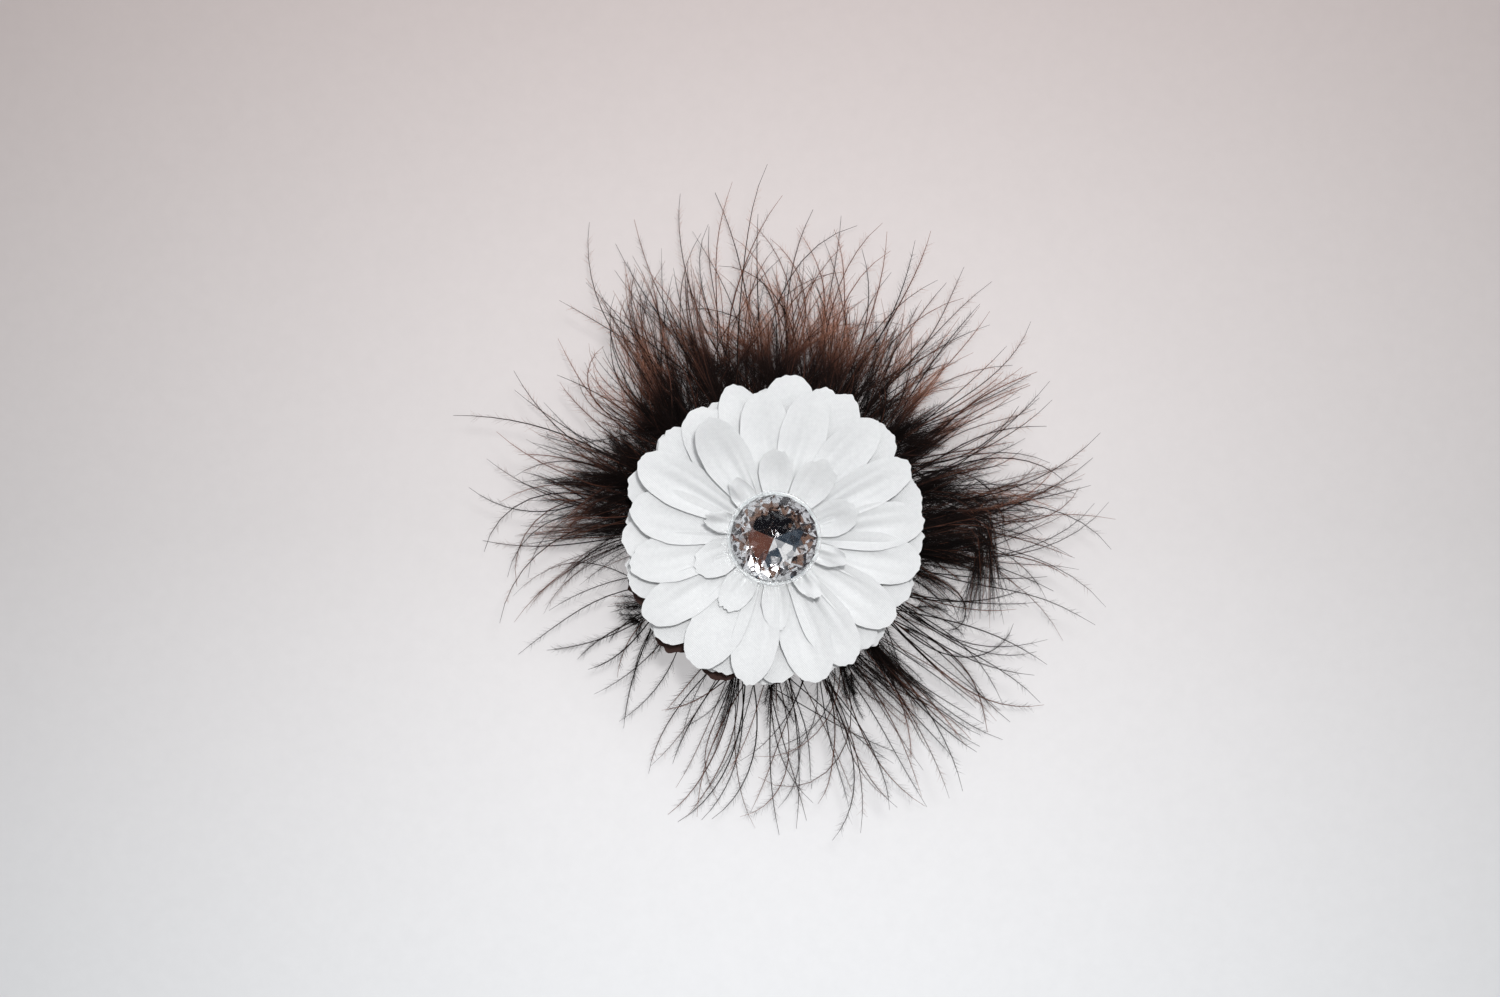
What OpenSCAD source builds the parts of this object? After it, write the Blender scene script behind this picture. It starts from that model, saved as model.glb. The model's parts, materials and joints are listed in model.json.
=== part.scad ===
// Flower hair clip: a fabric daisy with a foiled gem at its heart, a puff of
// feathers behind it, and a sprung two-lever clip under a felt backing.
// Origin: on the flower's axis, in the plane where the clip's jaws bite.
// +Z points out of the flower's face, -X out of the clip's mouth.

/* [Gem] */
// Diameter of the gem at its girdle
gem_d = 25; // [18:0.5:30]
// Diameter of the gem's flat table, corner to corner
table_d = 15; // [9:0.5:17]
// Height of the crown above the girdle
crown_h = 3; // [1.5:0.1:5]
// Height of the girdle band
girdle_h = 0.8; // [0.5:0.1:1.5]
// Depth of the pavilion below the girdle
pavilion_h = 4.2; // [3:0.1:7]
// Thickness of the mirror foil behind the gem
foil_t = 0.2; // [0.1:0.05:0.4]
// Gap between the gem and its foil, and between the foil and its glue
foil_gap = 0.02; // [0.01:0.01:0.05]

/* [Gem glue] */
// Width of the clear glue bead round the girdle
bead_w = 1; // [0.6:0.1:2]
// Glue left under the point of the gem
glue_floor = 0.3; // [0.2:0.1:1]
// Radius of the glue where it sits on the collar
glue_foot_r = 6; // [4:0.5:8]

/* [Petals] */
// Petals on each of the large layers
petal_count = 16; // [10:1:20]
// Reach of the top layer's petals from the axis
flower_r = 43; // [36:0.5:55]
// Reach of the middle layer's petals
middle_r = 42.8; // [36:0.2:55]
// Reach of the lower white layer's petals
lower_r = 42.5; // [36:0.5:55]
// Reach of the dark layer's petals
under_r = 42; // [36:0.5:55]
// How far the middle layer is set off, towards +Y
middle_lean = 3.3; // [0:0.1:5]
// How far the lower white layer is set off, towards +Y
lower_lean = 2.5; // [0:0.1:5]
// How far the dark layer is set off, away from +X and +Y
under_lean = 3.5; // [0:0.1:5]
// Depth of the notch between two large petals
notch_depth = 7; // [3:0.5:12]
// Petals of the small inner layer
inner_count = 10; // [6:1:16]
// Reach of the inner petals from the axis
inner_r = 25; // [20:0.5:32]
// Depth of the notch between two inner petals
inner_notch = 6; // [2:0.5:9]
// Thickness of the stiffened fabric
petal_t = 0.5; // [0.3:0.05:0.8]
// Gap between two layers at the hub
layer_gap = 0.05; // [0.02:0.01:0.2]
// How much further apart two layers stand at the rim than at the hub
layer_rise = 1.6; // [1.2:0.1:2.5]
// How high the dark layer's rim stands over its hub
under_rise = 0.3; // [0.2:0.1:2]
// Depth of the groove along each petal, and height of its turned-up edges
petal_cup = 0.5; // [0.1:0.05:0.55]

/* [Stud] */
// Diameter of the flange under the petals
flange_d = 16; // [10:0.5:20]
// Thickness of the flange
flange_t = 0.8; // [0.5:0.1:2]
// Diameter of the peg through the petals
peg_d = 4; // [2:0.2:6]
// Radial clearance of the peg in the petals and the collar
peg_clearance = 0.05; // [0.02:0.01:0.1]
// Diameter of the collar pressed onto the peg
collar_d = 9; // [8:0.5:14]
// Thickness of the collar
collar_t = 0.6; // [0.4:0.1:1.5]

/* [Feathers] */
// Diameter of a quill at its root
quill_d = 1; // [0.6:0.1:1.6]
// Radial clearance of a quill in the glue pad
quill_clearance = 0.05; // [0.02:0.01:0.1]
// Distance of the quills' roots from the axis
root_r = 6; // [5:0.5:9]
// Barbs on each side of a quill
barb_pairs = 7; // [3:1:9]
// Length of a barb's foot along its quill
barb_base = 1.6; // [0.8:0.1:2.5]
// Bare quill between the glue pad and the first barb
bare_quill = 5; // [2:0.5:10]
// How far the upper feathers curl up beyond the petals
curl_rise = 4; // [0:0.5:8]

/* [Backing] */
// Diameter of the glue pad that holds the quills
pad_d = 26; // [20:1:34]
// Glue above, between and below the two tiers of quills
pad_web = 0.25; // [0.2:0.05:1]
// Diameter of the felt disc
felt_d = 44; // [36:1:56]
// Thickness of the felt disc
felt_t = 1.5; // [0.8:0.1:3]
// Length of the glue strip between clip and felt
strip_l = 34; // [20:1:38]
// Width of the glue strip
strip_w = 6; // [4:0.5:7]
// Thickness of the glue strip
strip_t = 0.4; // [0.2:0.1:1]

/* [Clip] */
// Reach of the jaws from the flower's axis
jaw_reach = 25; // [22:0.5:35]
// Reach of the tail from the flower's axis
tail_reach = 23; // [20:0.5:30]
// Place of the hinge along the clip
hinge_x = 8; // [4:0.5:10]
// Width of the upper lever
lever_w = 8; // [7.5:0.1:10]
// Width of both levers at the tip
tip_w = 6; // [4:0.1:6.4]
// Thickness of the levers' sheet steel
lever_t = 0.6; // [0.4:0.05:0.7]
// Radius of the levers' tail corners
tail_corner = 2; // [1:0.1:3]
// Angle between the two tails when the clip is shut
tail_angle = 24; // [18:1:30]
// Radius of the upper lever's ears round the hinge
ear_r = 2.2; // [1.8:0.1:3]
// Gap on each side between the upper and the lower ears
ear_gap = 0.1; // [0.05:0.05:0.2]
// Gap left at the bite when the clip is shut
bite_gap = 0.12; // [0.05:0.01:0.3]
// Height of the teeth across the lower jaw
tooth_h = 0.5; // [0.2:0.05:0.8]
// Distance from one tooth to the next
tooth_pitch = 1.6; // [1:0.1:2.5]
// Number of teeth
tooth_count = 5; // [2:1:7]
// Thickness of the ribbon that lines the upper lever
ribbon_t = 0.4; // [0.2:0.05:0.8]
// Width of the ribbon
ribbon_w = 7; // [6.4:0.1:7.4]

/* [Hinge] */
// Diameter of the hinge pin
pin_d = 1.4; // [1:0.1:1.8]
// Radial clearance of the pin in the ears
pin_clearance = 0.04; // [0.02:0.01:0.1]
// Diameter of the pin's two heads
head_d = 2.6; // [2.2:0.1:3.5]
// Thickness of the pin's heads
head_t = 0.5; // [0.3:0.1:1]

/* [Spring] */
// Diameter of the spring wire
wire_d = 0.5; // [0.4:0.05:0.6]
// Full turns of the spring between its two legs
coil_turns = 3; // [2:1:3]
// Gap between one curl and the next
coil_gap = 0.5; // [0.45:0.01:0.6]
// Gap between the pin and the inside of the curls
coil_play = 0.25; // [0.2:0.05:0.4]
// Gap between the curls and the levers
coil_room = 0.3; // [0.2:0.05:0.5]
// Length of each leg
leg_l = 9; // [5:0.5:11]

/* [Hidden] */
$fn = 64;

// Heights of the stack, from the bite plane up to the gem
lever_z = ribbon_t;
ribbon_top = lever_z + lever_t + ribbon_t;
felt_z = ribbon_top + strip_t;
pad_z = felt_z + felt_t;
bore_d = quill_d + 2 * quill_clearance;
low_z = pad_z + pad_web + bore_d / 2;
high_z = low_z + bore_d + pad_web;
pad_t = 2 * bore_d + 3 * pad_web;
flange_z = pad_z + pad_t;
hub_z = flange_z + flange_t;
layer_step = petal_t + layer_gap;
large_layers = 4;
inner_z = hub_z + large_layers * layer_step;
collar_z = inner_z + petal_t;
glue_z = collar_z + collar_t;
foil_z = glue_z + glue_floor;
gem_z = foil_z + foil_t + foil_gap;
girdle_z = gem_z + pavilion_h;

// Petals: flat over the flange, and rising beyond it
hub_margin = 1;
hub_r = flange_d / 2 + hub_margin;
peg_hole_r = peg_d / 2 + peg_clearance;
petal_columns = 5;
petal_rings = 3;
tip_roundness = 2.5;

// Hinge, measured from the upper lever's underside
coil_r = pin_d / 2 + coil_play + wire_d / 2;
hinge_drop = coil_r + wire_d / 2 + coil_room;
hinge_z = lever_z - hinge_drop;
hinge_bore_r = pin_d / 2 + pin_clearance;
ear_inner = lever_w / 2 - lever_t;
low_w = 2 * (ear_inner - ear_gap);
low_ear_r = hinge_drop - coil_room / 2;
tail_l = tail_reach - hinge_x;
ribbon_end = hinge_x - ear_r - ribbon_t;

// The surface that the clip lies on touches the end of the lower tail
table_z = hinge_z - tail_l * sin(tail_angle) - (hinge_drop + lever_t) * cos(tail_angle);

// Feathers: direction in degrees, reach from the axis and half spread in degrees
low_plumes = [
    [6, 98, 11], [30, 90, 11], [54, 95, 11], [78, 94, 11], [101, 102, 11], [125, 100, 11], [150, 95, 12],
    [178, 90, 11], [212, 76, 9], [250, 86, 10], [275, 88, 10], [300, 88, 11], [325, 92, 11], [346, 84, 8]
];
high_plumes = [
    [354, 102, 9], [18, 96, 11], [42, 90, 11], [66, 96, 11], [90, 96, 11], [112, 108, 9],
    [134, 88, 11], [158, 97, 11], [288, 84, 9], [312, 90, 10], [334, 92, 9]
];
tip_lift = 0.3;
low_drop = low_z - table_z - tip_lift;
droop_r = felt_d / 2;
droop_power = 1.6;
rim_r = under_r + under_lean;
curl_power = 1.5;
quill_taper = 0.7;
barb_start = pad_d / 2 + bare_quill;
barb_length = 0.62;
barb_spread = 0.95;
barb_narrowing = 0.07;
barb_mid_s = 0.42;
barb_mid_w = 0.55;
barb_mid_half = 0.4;
barb_mid_t = 0.2;

LOW_NAMES = [for (i = [1 : len(low_plumes)]) str("low_plume_", i)];
HIGH_NAMES = [for (i = [1 : len(high_plumes)]) str("high_plume_", i)];

// Two triangles of a four-sided face
function quad(a, b, c, d) = [[a, b, c], [a, c, d]];

// A point at a radius, an angle and a height
function polar(r, angle, z) = [r * cos(angle), r * sin(angle), z];

// Gem: table and crown corners, girdle corners and pavilion corners, on eighths and sixteenths of a turn
half_sector = 22.5;
crown_mid_r = (table_d + gem_d) / 4;
crown_z = girdle_z + girdle_h;
crown_mid_z = crown_z
    + crown_h * (gem_d / 2 - crown_mid_r * cos(half_sector)) / (gem_d / 2 - table_d / 2);
pavilion_mid_r = gem_d / 4;
pavilion_mid_h = pavilion_h * pavilion_mid_r * cos(half_sector) / (gem_d / 2);

// Sixteen girdle corners, eight pavilion corners and the point, shifted down by drop
function pavilion_points(drop) = concat(
    [for (i = [0 : 15]) polar(gem_d / 2, i * half_sector, girdle_z - drop)],
    [for (i = [0 : 7]) polar(pavilion_mid_r, (2 * i + 1) * half_sector, gem_z + pavilion_mid_h - drop)],
    [[0, 0, gem_z - drop]]
);

// Kites from the point to every second girdle corner, and two half facets beside each
function pavilion_faces(first) = [
    for (i = [0 : 7])
        let (
            g = first + 2 * i,
            g_half = first + 2 * i + 1,
            g_next = first + (2 * i + 2) % 16,
            corner = first + 16 + i,
            corner_before = first + 16 + (i + 7) % 8,
            point = first + 24
        )
        each [
            [point, g, corner], [point, corner_before, g],
            [corner, g, g_half], [corner, g_half, g_next]
        ]
];

function flipped(faces) = [for (f = faces) [f[2], f[1], f[0]]];

module gem() {
    lower = pavilion_points(0);
    crown = 25;
    table = crown + 16;
    middle = table + 8;
    points = concat(
        lower,
        [for (i = [0 : 15]) polar(gem_d / 2, i * half_sector, crown_z)],
        [for (i = [0 : 7]) polar(table_d / 2, 2 * i * half_sector, crown_z + crown_h)],
        [for (i = [0 : 7]) polar(crown_mid_r, (2 * i + 1) * half_sector, crown_mid_z)]
    );
    girdle_faces = [
        for (i = [0 : 15])
            each quad(i, crown + i, crown + (i + 1) % 16, (i + 1) % 16)
    ];
    crown_faces = [
        for (i = [0 : 7])
            let (
                g = crown + 2 * i,
                g_half = crown + 2 * i + 1,
                g_next = crown + (2 * i + 2) % 16,
                t = table + i,
                t_next = table + (i + 1) % 8,
                m = middle + i,
                m_before = middle + (i + 7) % 8
            )
            each [
                [g, t, m], [g, m_before, t], [t, t_next, m],
                [g, m, g_half], [g_half, m, g_next]
            ]
    ];
    table_faces = [for (i = [1 : 6]) [table, table + i + 1, table + i]];
    color("aliceblue")
        polyhedron(points, concat(pavilion_faces(0), girdle_faces, crown_faces, table_faces));
}

module gem_foil() {
    ring = 25;
    points = concat(pavilion_points(foil_gap), pavilion_points(foil_gap + foil_t));
    rim_faces = [
        for (i = [0 : 15])
            each quad(ring + i, i, (i + 1) % 16, ring + (i + 1) % 16)
    ];
    color("gainsboro")
        polyhedron(points, concat(flipped(pavilion_faces(0)), pavilion_faces(ring), rim_faces));
}

module gem_glue() {
    drop = foil_t + 2 * foil_gap;
    inner = gem_d / 2 + foil_gap;
    color("ghostwhite")
        rotate_extrude()
            polygon([
                [0, glue_z],
                [glue_foot_r, glue_z],
                [inner + bead_w, girdle_z - bead_w],
                [inner + bead_w, girdle_z + girdle_h / 2],
                [inner + bead_w / 2, girdle_z + girdle_h],
                [inner, girdle_z + girdle_h],
                [inner, girdle_z - drop],
                [pavilion_mid_r, gem_z + pavilion_mid_h - drop],
                [0, gem_z - drop]
            ]);
}

// How far out a point of a layer lies, from 0 at the hub to 1 at the top layer's rim
function spread(r) = max(0, (r - hub_r) / (flower_r - hub_r));

// Underside of layer k at radius r, where u runs from -1 to 1 across a petal
function petal_z(k, r, u) =
    hub_z + k * layer_step + spread(r) * (under_rise + k * layer_rise - petal_cup * cos(180 * u));

// Share of the notch that is cut away at u: none at the tip, all of it between two petals
function notch_share(u) = 1 - sqrt(1 - pow(abs(u), tip_roundness));

// One ring of fabric with scalloped petals: layer k of the stack, set off by lean towards lean_angle
module petal_layer(k, count, reach, notch, turn, lean, lean_angle) {
    columns = count * petal_columns;
    rings = petal_rings + 1;
    side = (rings + 1) * columns;
    function angle(j) = turn + 360 * j / columns;
    function across(j) = 2 * (j % petal_columns) / petal_columns - 1;
    function tip(j) = reach + lean * cos(angle(j) - lean_angle) - notch * notch_share(across(j));
    function radius(i, j) = i == 0 ? peg_hole_r : hub_r + (tip(j) - hub_r) * (i - 1) / petal_rings;
    function at(i, j) = i * columns + j % columns;
    points = [
        for (level = [0, petal_t])
            for (i = [0 : rings])
                for (j = [0 : columns - 1])
                    polar(radius(i, j), angle(j), petal_z(k, radius(i, j), across(j)) + level)
    ];
    under_faces = [
        for (i = [0 : rings - 1])
            for (j = [0 : columns - 1])
                each quad(at(i, j), at(i + 1, j), at(i + 1, j + 1), at(i, j + 1))
    ];
    upper_faces = [for (f = flipped(under_faces)) [for (p = f) p + side]];
    hole_faces = [
        for (j = [0 : columns - 1])
            each quad(at(0, j), at(0, j + 1), side + at(0, j + 1), side + at(0, j))
    ];
    edge_faces = [
        for (j = [0 : columns - 1])
            each quad(at(rings, j + 1), at(rings, j), side + at(rings, j), side + at(rings, j + 1))
    ];
    polyhedron(points, concat(under_faces, upper_faces, hole_faces, edge_faces));
}

half_petal = 180 / petal_count;

module under_petals() {
    color("#3a2723") petal_layer(0, petal_count, under_r, notch_depth, half_petal, under_lean, 225);
}

module lower_petals() {
    color("gainsboro") petal_layer(1, petal_count, lower_r, notch_depth, 0, lower_lean, 90);
}

module middle_petals() {
    color("whitesmoke") petal_layer(2, petal_count, middle_r, notch_depth, half_petal, middle_lean, 90);
}

module top_petals() {
    color("white") petal_layer(3, petal_count, flower_r, notch_depth, 0, 0, 90);
}

module inner_petals() {
    color("white") petal_layer(large_layers, inner_count, inner_r, inner_notch, 90, 0, 90);
}

module petal_stud() {
    color("seashell") {
        translate([0, 0, flange_z]) cylinder(d = flange_d, h = flange_t);
        translate([0, 0, flange_z]) cylinder(d = peg_d, h = glue_z - flange_z);
    }
}

module stud_collar() {
    color("seashell")
        translate([0, 0, collar_z])
            linear_extrude(collar_t)
                difference() {
                    circle(d = collar_d);
                    circle(r = peg_hole_r);
                }
}

// Straight bore for the root of one quill, from its root out through the pad's edge
module quill_bore(turn, z) {
    rotate([0, 0, turn])
        translate([root_r, 0, z])
            rotate([0, 90, 0])
                cylinder(d = bore_d, h = pad_d);
}

module feather_glue() {
    color("ivory")
        difference() {
            translate([0, 0, pad_z]) cylinder(d = pad_d, h = pad_t);
            for (plume = low_plumes) quill_bore(plume[0], low_z);
            for (plume = high_plumes) quill_bore(plume[0], high_z);
        }
}

module felt_backing() {
    color("#2e2321") translate([0, 0, felt_z]) cylinder(d = felt_d, h = felt_t);
}

module glue_strip() {
    color("ivory")
        translate([0, 0, ribbon_top])
            linear_extrude(strip_t) {
                square([strip_l - strip_w, strip_w], center = true);
                for (end = [-1, 1])
                    translate([end * (strip_l - strip_w) / 2, 0]) circle(d = strip_w);
            }
}

// Draws a profile given in X and Z across the clip, w wide and centred on y
module across_clip(w, y = 0) {
    translate([0, y, 0])
        rotate([90, 0, 0])
            linear_extrude(w, center = true)
                children();
}

// Ribbon folded round the tip of the upper lever, under it to the ears and over it to the tail
module clip_ribbon() {
    color("#33231f")
        across_clip(ribbon_w)
            difference() {
                union() {
                    translate([-jaw_reach, 0]) square([jaw_reach + ribbon_end, ribbon_t]);
                    translate([-jaw_reach, lever_z + lever_t])
                        square([jaw_reach + tail_reach - tail_corner, ribbon_t]);
                    translate([-jaw_reach, ribbon_top / 2])
                        intersection() {
                            circle(d = ribbon_top);
                            translate([-ribbon_top, -ribbon_top / 2]) square(ribbon_top);
                        }
                }
                translate([-jaw_reach, ribbon_top / 2]) circle(d = lever_t);
            }
}

// Plan of a lever: a round tip, straight flanks that widen to w, and a tail with round corners
module lever_plan(w, wide_x, tail_x) {
    tip_x = tip_w / 2 - jaw_reach;
    translate([tip_x, 0]) circle(d = tip_w);
    polygon([
        [tip_x, -tip_w / 2], [wide_x, -w / 2], [tail_x - tail_corner, -w / 2],
        [tail_x - tail_corner, w / 2], [wide_x, w / 2], [tip_x, tip_w / 2]
    ]);
    for (side = [-1, 1])
        translate([tail_x - tail_corner, side * (w / 2 - tail_corner)]) circle(r = tail_corner);
    translate([tail_x - tail_corner, tail_corner - w / 2]) square([tail_corner, w - 2 * tail_corner]);
}

// Profile of one ear: a disc round the hinge and a web to the plate at web_z, with the pin's bore
module ear_profile(r, web_z) {
    difference() {
        union() {
            translate([hinge_x, hinge_z]) circle(r = r);
            translate([hinge_x - r, min(web_z, hinge_z)]) square([2 * r, abs(web_z - hinge_z)]);
        }
        translate([hinge_x, hinge_z]) circle(r = hinge_bore_r);
    }
}

module upper_lever() {
    color("silver") {
        translate([0, 0, lever_z])
            linear_extrude(lever_t)
                lever_plan(lever_w, hinge_x - ear_r, tail_reach);
        for (side = [-1, 1])
            across_clip(lever_t, side * (lever_w - lever_t) / 2)
                ear_profile(ear_r, lever_z + lever_t);
    }
}

// A point of the lower tail, l along it and d below the hinge, turned down by the tail's angle
function tail_point(l, d) = [
    hinge_x + l * cos(tail_angle) - d * sin(tail_angle),
    hinge_z - l * sin(tail_angle) - d * cos(tail_angle)
];

// Side view of the lower lever: a tail, a flat heel under the hinge, a rising jaw and its teeth
module lower_profile() {
    top = hinge_drop;
    bottom = hinge_drop + lever_t;
    bend = tan(tail_angle / 2);
    heel_x = hinge_x - low_ear_r;
    teeth_x = tooth_count * tooth_pitch - jaw_reach;
    root_z = -bite_gap - tooth_h;
    teeth = [
        for (i = [tooth_count - 1 : -1 : 0])
            each [
                [i * tooth_pitch + tooth_pitch / 2 - jaw_reach, -bite_gap],
                [i * tooth_pitch - jaw_reach, root_z]
            ]
    ];
    polygon(concat(
        [tail_point(tail_l, top), [hinge_x - top * bend, hinge_z - top], [heel_x, hinge_z - top]],
        [[teeth_x, root_z]],
        teeth,
        [[-jaw_reach, root_z - lever_t], [teeth_x, root_z - lever_t]],
        [[heel_x, hinge_z - bottom], [hinge_x - bottom * bend, hinge_z - bottom], tail_point(tail_l, bottom)]
    ));
}

module lower_lever() {
    tail_x = tail_point(tail_l, hinge_drop)[0];
    color("silver") {
        intersection() {
            across_clip(low_w) lower_profile();
            translate([0, 0, table_z])
                linear_extrude(lever_z - table_z)
                    lever_plan(low_w, hinge_x - low_ear_r, tail_x);
        }
        for (side = [-1, 1])
            across_clip(lever_t, side * (low_w - lever_t) / 2)
                ear_profile(low_ear_r, hinge_z - hinge_drop - lever_t);
    }
}

module hinge_pin() {
    color("gray")
        translate([hinge_x, 0, hinge_z])
            rotate([90, 0, 0]) {
                cylinder(d = pin_d, h = lever_w, center = true);
                for (side = [-1, 1])
                    translate([0, 0, side * (lever_w + head_t) / 2])
                        cylinder(d = head_d, h = head_t, center = true);
            }
}

// Spring: a leg along the lower tail, curls round the pin, and a leg under the upper tail
coil_pitch = wire_d + coil_gap;
coil_sweep = 360 * coil_turns + 180 - tail_angle;
curl_rings = 8;
wire_sides = 6;

function coil_point(swept) = [
    hinge_x + coil_r * cos(270 - tail_angle - swept),
    coil_pitch * (swept - coil_sweep / 2) / 360,
    hinge_z + coil_r * sin(270 - tail_angle - swept)
];

// The wire's centre line in steps of about step degrees, with leg_steps points on each leg
function spring_track(step, leg_steps) =
    let (
        steps = ceil(coil_sweep / step),
        lower = [cos(tail_angle), 0, -sin(tail_angle)],
        upper = [1, 0, 0]
    )
    concat(
        [for (i = [leg_steps : -1 : 1]) coil_point(0) + lower * leg_l * i / leg_steps],
        [for (i = [0 : steps]) coil_point(coil_sweep * i / steps)],
        [for (i = [1 : leg_steps]) coil_point(coil_sweep) + upper * leg_l * i / leg_steps]
    );

// Least distance between parts of the wire that are half a curl or more apart
function least_gap(track, apart) =
    min([
        for (i = [0 : len(track) - 1 - apart])
            for (j = [i + apart : len(track) - 1])
                norm(track[i] - track[j])
    ]) - wire_d;

function unit(v) = v / norm(v);

module torsion_spring() {
    fine_step = 15;
    fine = spring_track(fine_step, ceil(leg_l / wire_d));
    echo(least_gap_between_curls = least_gap(fine, 180 / fine_step));
    track = spring_track(360 / curl_rings, 1);
    last = len(track) - 1;
    side = [0, 1, 0];
    points = [
        for (i = [0 : last])
            let (
                along = unit(track[min(i + 1, last)] - track[max(i - 1, 0)]),
                out = unit(cross(along, side)),
                up = cross(out, along)
            )
            for (j = [0 : wire_sides - 1])
                track[i] + wire_d / 2 * (cos(360 * j / wire_sides) * out + sin(360 * j / wire_sides) * up)
    ];
    function at(i, j) = i * wire_sides + j % wire_sides;
    wall_faces = [
        for (i = [0 : last - 1])
            for (j = [0 : wire_sides - 1])
                each quad(at(i, j), at(i, j + 1), at(i + 1, j + 1), at(i + 1, j))
    ];
    end_faces = [
        for (j = [1 : wire_sides - 2])
            each [
                [at(0, 0), at(0, j + 1), at(0, j)],
                [at(last, 0), at(last, j), at(last, j + 1)]
            ]
    ];
    color("dimgray") polyhedron(points, concat(wall_faces, end_faces));
}

// Height of a lower feather, which droops to the table beyond the felt
function low_plume_z(r, reach) =
    low_z - low_drop * pow(max(0, (r - droop_r) / (reach - droop_r)), droop_power);

// Height of an upper feather, which curls up beyond the petals
function high_plume_z(r, reach) =
    high_z + curl_rise * pow(max(0, (r - rim_r) / (reach - rim_r)), curl_power);

// One feather along +X: a tapering quill with curved, forward-swept barbs on both sides
module plume(reach, half_spread, high) {
    function lift(r) = high ? high_plume_z(r, reach) : low_plume_z(r, reach);
    function half(s) = quill_d / 2 * sqrt(0.5) * (1 - quill_taper * (s - root_r) / (reach - root_r));
    function foot(i) = barb_start + (reach - barb_start) * i / (barb_pairs + 1);
    stations = concat(
        [root_r, pad_d / 2],
        [for (i = [0 : barb_pairs - 1]) each [foot(i), foot(i) + barb_base]]
    );
    count = len(stations);
    apex = 4 * count;
    quill_points = [
        for (s = stations)
            for (c = [[1, -1], [-1, -1], [-1, 1], [1, 1]])
                [s, c[0] * half(s), lift(s) + c[1] * half(s)]
    ];
    barb_points = [
        for (i = [0 : barb_pairs - 1])
            for (side = [1, -1])
                let (
                    from = foot(i) + barb_base / 2,
                    to = from + (reach - from) * barb_length,
                    wide = side * to * tan(half_spread) * (barb_spread - barb_narrowing * i),
                    mid = from + (to - from) * barb_mid_s
                )
                each concat(
                    [
                        for (c = [[-1, -1], [1, -1], [1, 1], [-1, 1]])
                            [
                                mid + c[0] * barb_base * barb_mid_half,
                                wide * barb_mid_w,
                                lift(mid) + side * c[1] * barb_mid_t
                            ]
                    ],
                    [[to, wide, lift(to)]]
                )
    ];
    function corner(k, c) = 4 * k + c;
    function left(k) = [corner(k, 0), corner(k + 1, 0), corner(k + 1, 3), corner(k, 3)];
    function right(k) = [corner(k, 2), corner(k + 1, 2), corner(k + 1, 1), corner(k, 1)];
    function barb_faces(base, first) = [
        for (j = [0 : 3])
            let (next = (j + 1) % 4)
            each concat(
                quad(base[j], base[next], first + next, first + j),
                [[first + j, first + next, first + 4]]
            )
    ];
    quill_faces = [
        for (k = [0 : count - 2])
            each concat(
                quad(corner(k, 1), corner(k + 1, 1), corner(k + 1, 0), corner(k, 0)),
                quad(corner(k, 3), corner(k + 1, 3), corner(k + 1, 2), corner(k, 2))
            )
    ];
    bare_faces = [
        for (k = concat([0], [for (i = [0 : barb_pairs - 1]) 2 * i + 1]))
            for (f = [left(k), right(k)])
                each quad(f[0], f[1], f[2], f[3])
    ];
    all_barbs = [
        for (i = [0 : barb_pairs - 1])
            each concat(
                barb_faces(left(2 * i + 2), apex + 1 + 10 * i),
                barb_faces(right(2 * i + 2), apex + 6 + 10 * i)
            )
    ];
    end = count - 1;
    end_faces = [
        [corner(end, 1), apex, corner(end, 0)], [corner(end, 3), apex, corner(end, 2)],
        [corner(end, 0), apex, corner(end, 3)], [corner(end, 2), apex, corner(end, 1)]
    ];
    polyhedron(
        concat(quill_points, [[reach, 0, lift(reach)]], barb_points),
        concat(quad(1, 0, 3, 2), quill_faces, bare_faces, all_barbs, end_faces)
    );
}

module low_plume(i) {
    row = low_plumes[i];
    color("#2a1d1b") rotate([0, 0, row[0]]) plume(row[1], row[2], false);
}

module high_plume(i) {
    row = high_plumes[i];
    color("#402d29") rotate([0, 0, row[0]]) plume(row[1], row[2], true);
}

gem();
gem_foil();
gem_glue();
inner_petals();
top_petals();
middle_petals();
lower_petals();
under_petals();
petal_stud();
stud_collar();
feather_glue();
felt_backing();
glue_strip();
clip_ribbon();
upper_lever();
lower_lever();
hinge_pin();
torsion_spring();
for (i = [0 : len(low_plumes) - 1])
    low_plume(i);
for (i = [0 : len(high_plumes) - 1])
    high_plume(i);
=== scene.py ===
"""Looks of a flower hair clip: fabric petals, a foiled gem, a feather puff and a sprung clip.

The lengths of every piece are in millimetres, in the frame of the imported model, until mesh_piece() writes
them to a mesh in metres. Materials, the table and the lamp work in metres. +Z points out of the flower's
face and +Y is up in the photograph.
"""
import json

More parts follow.
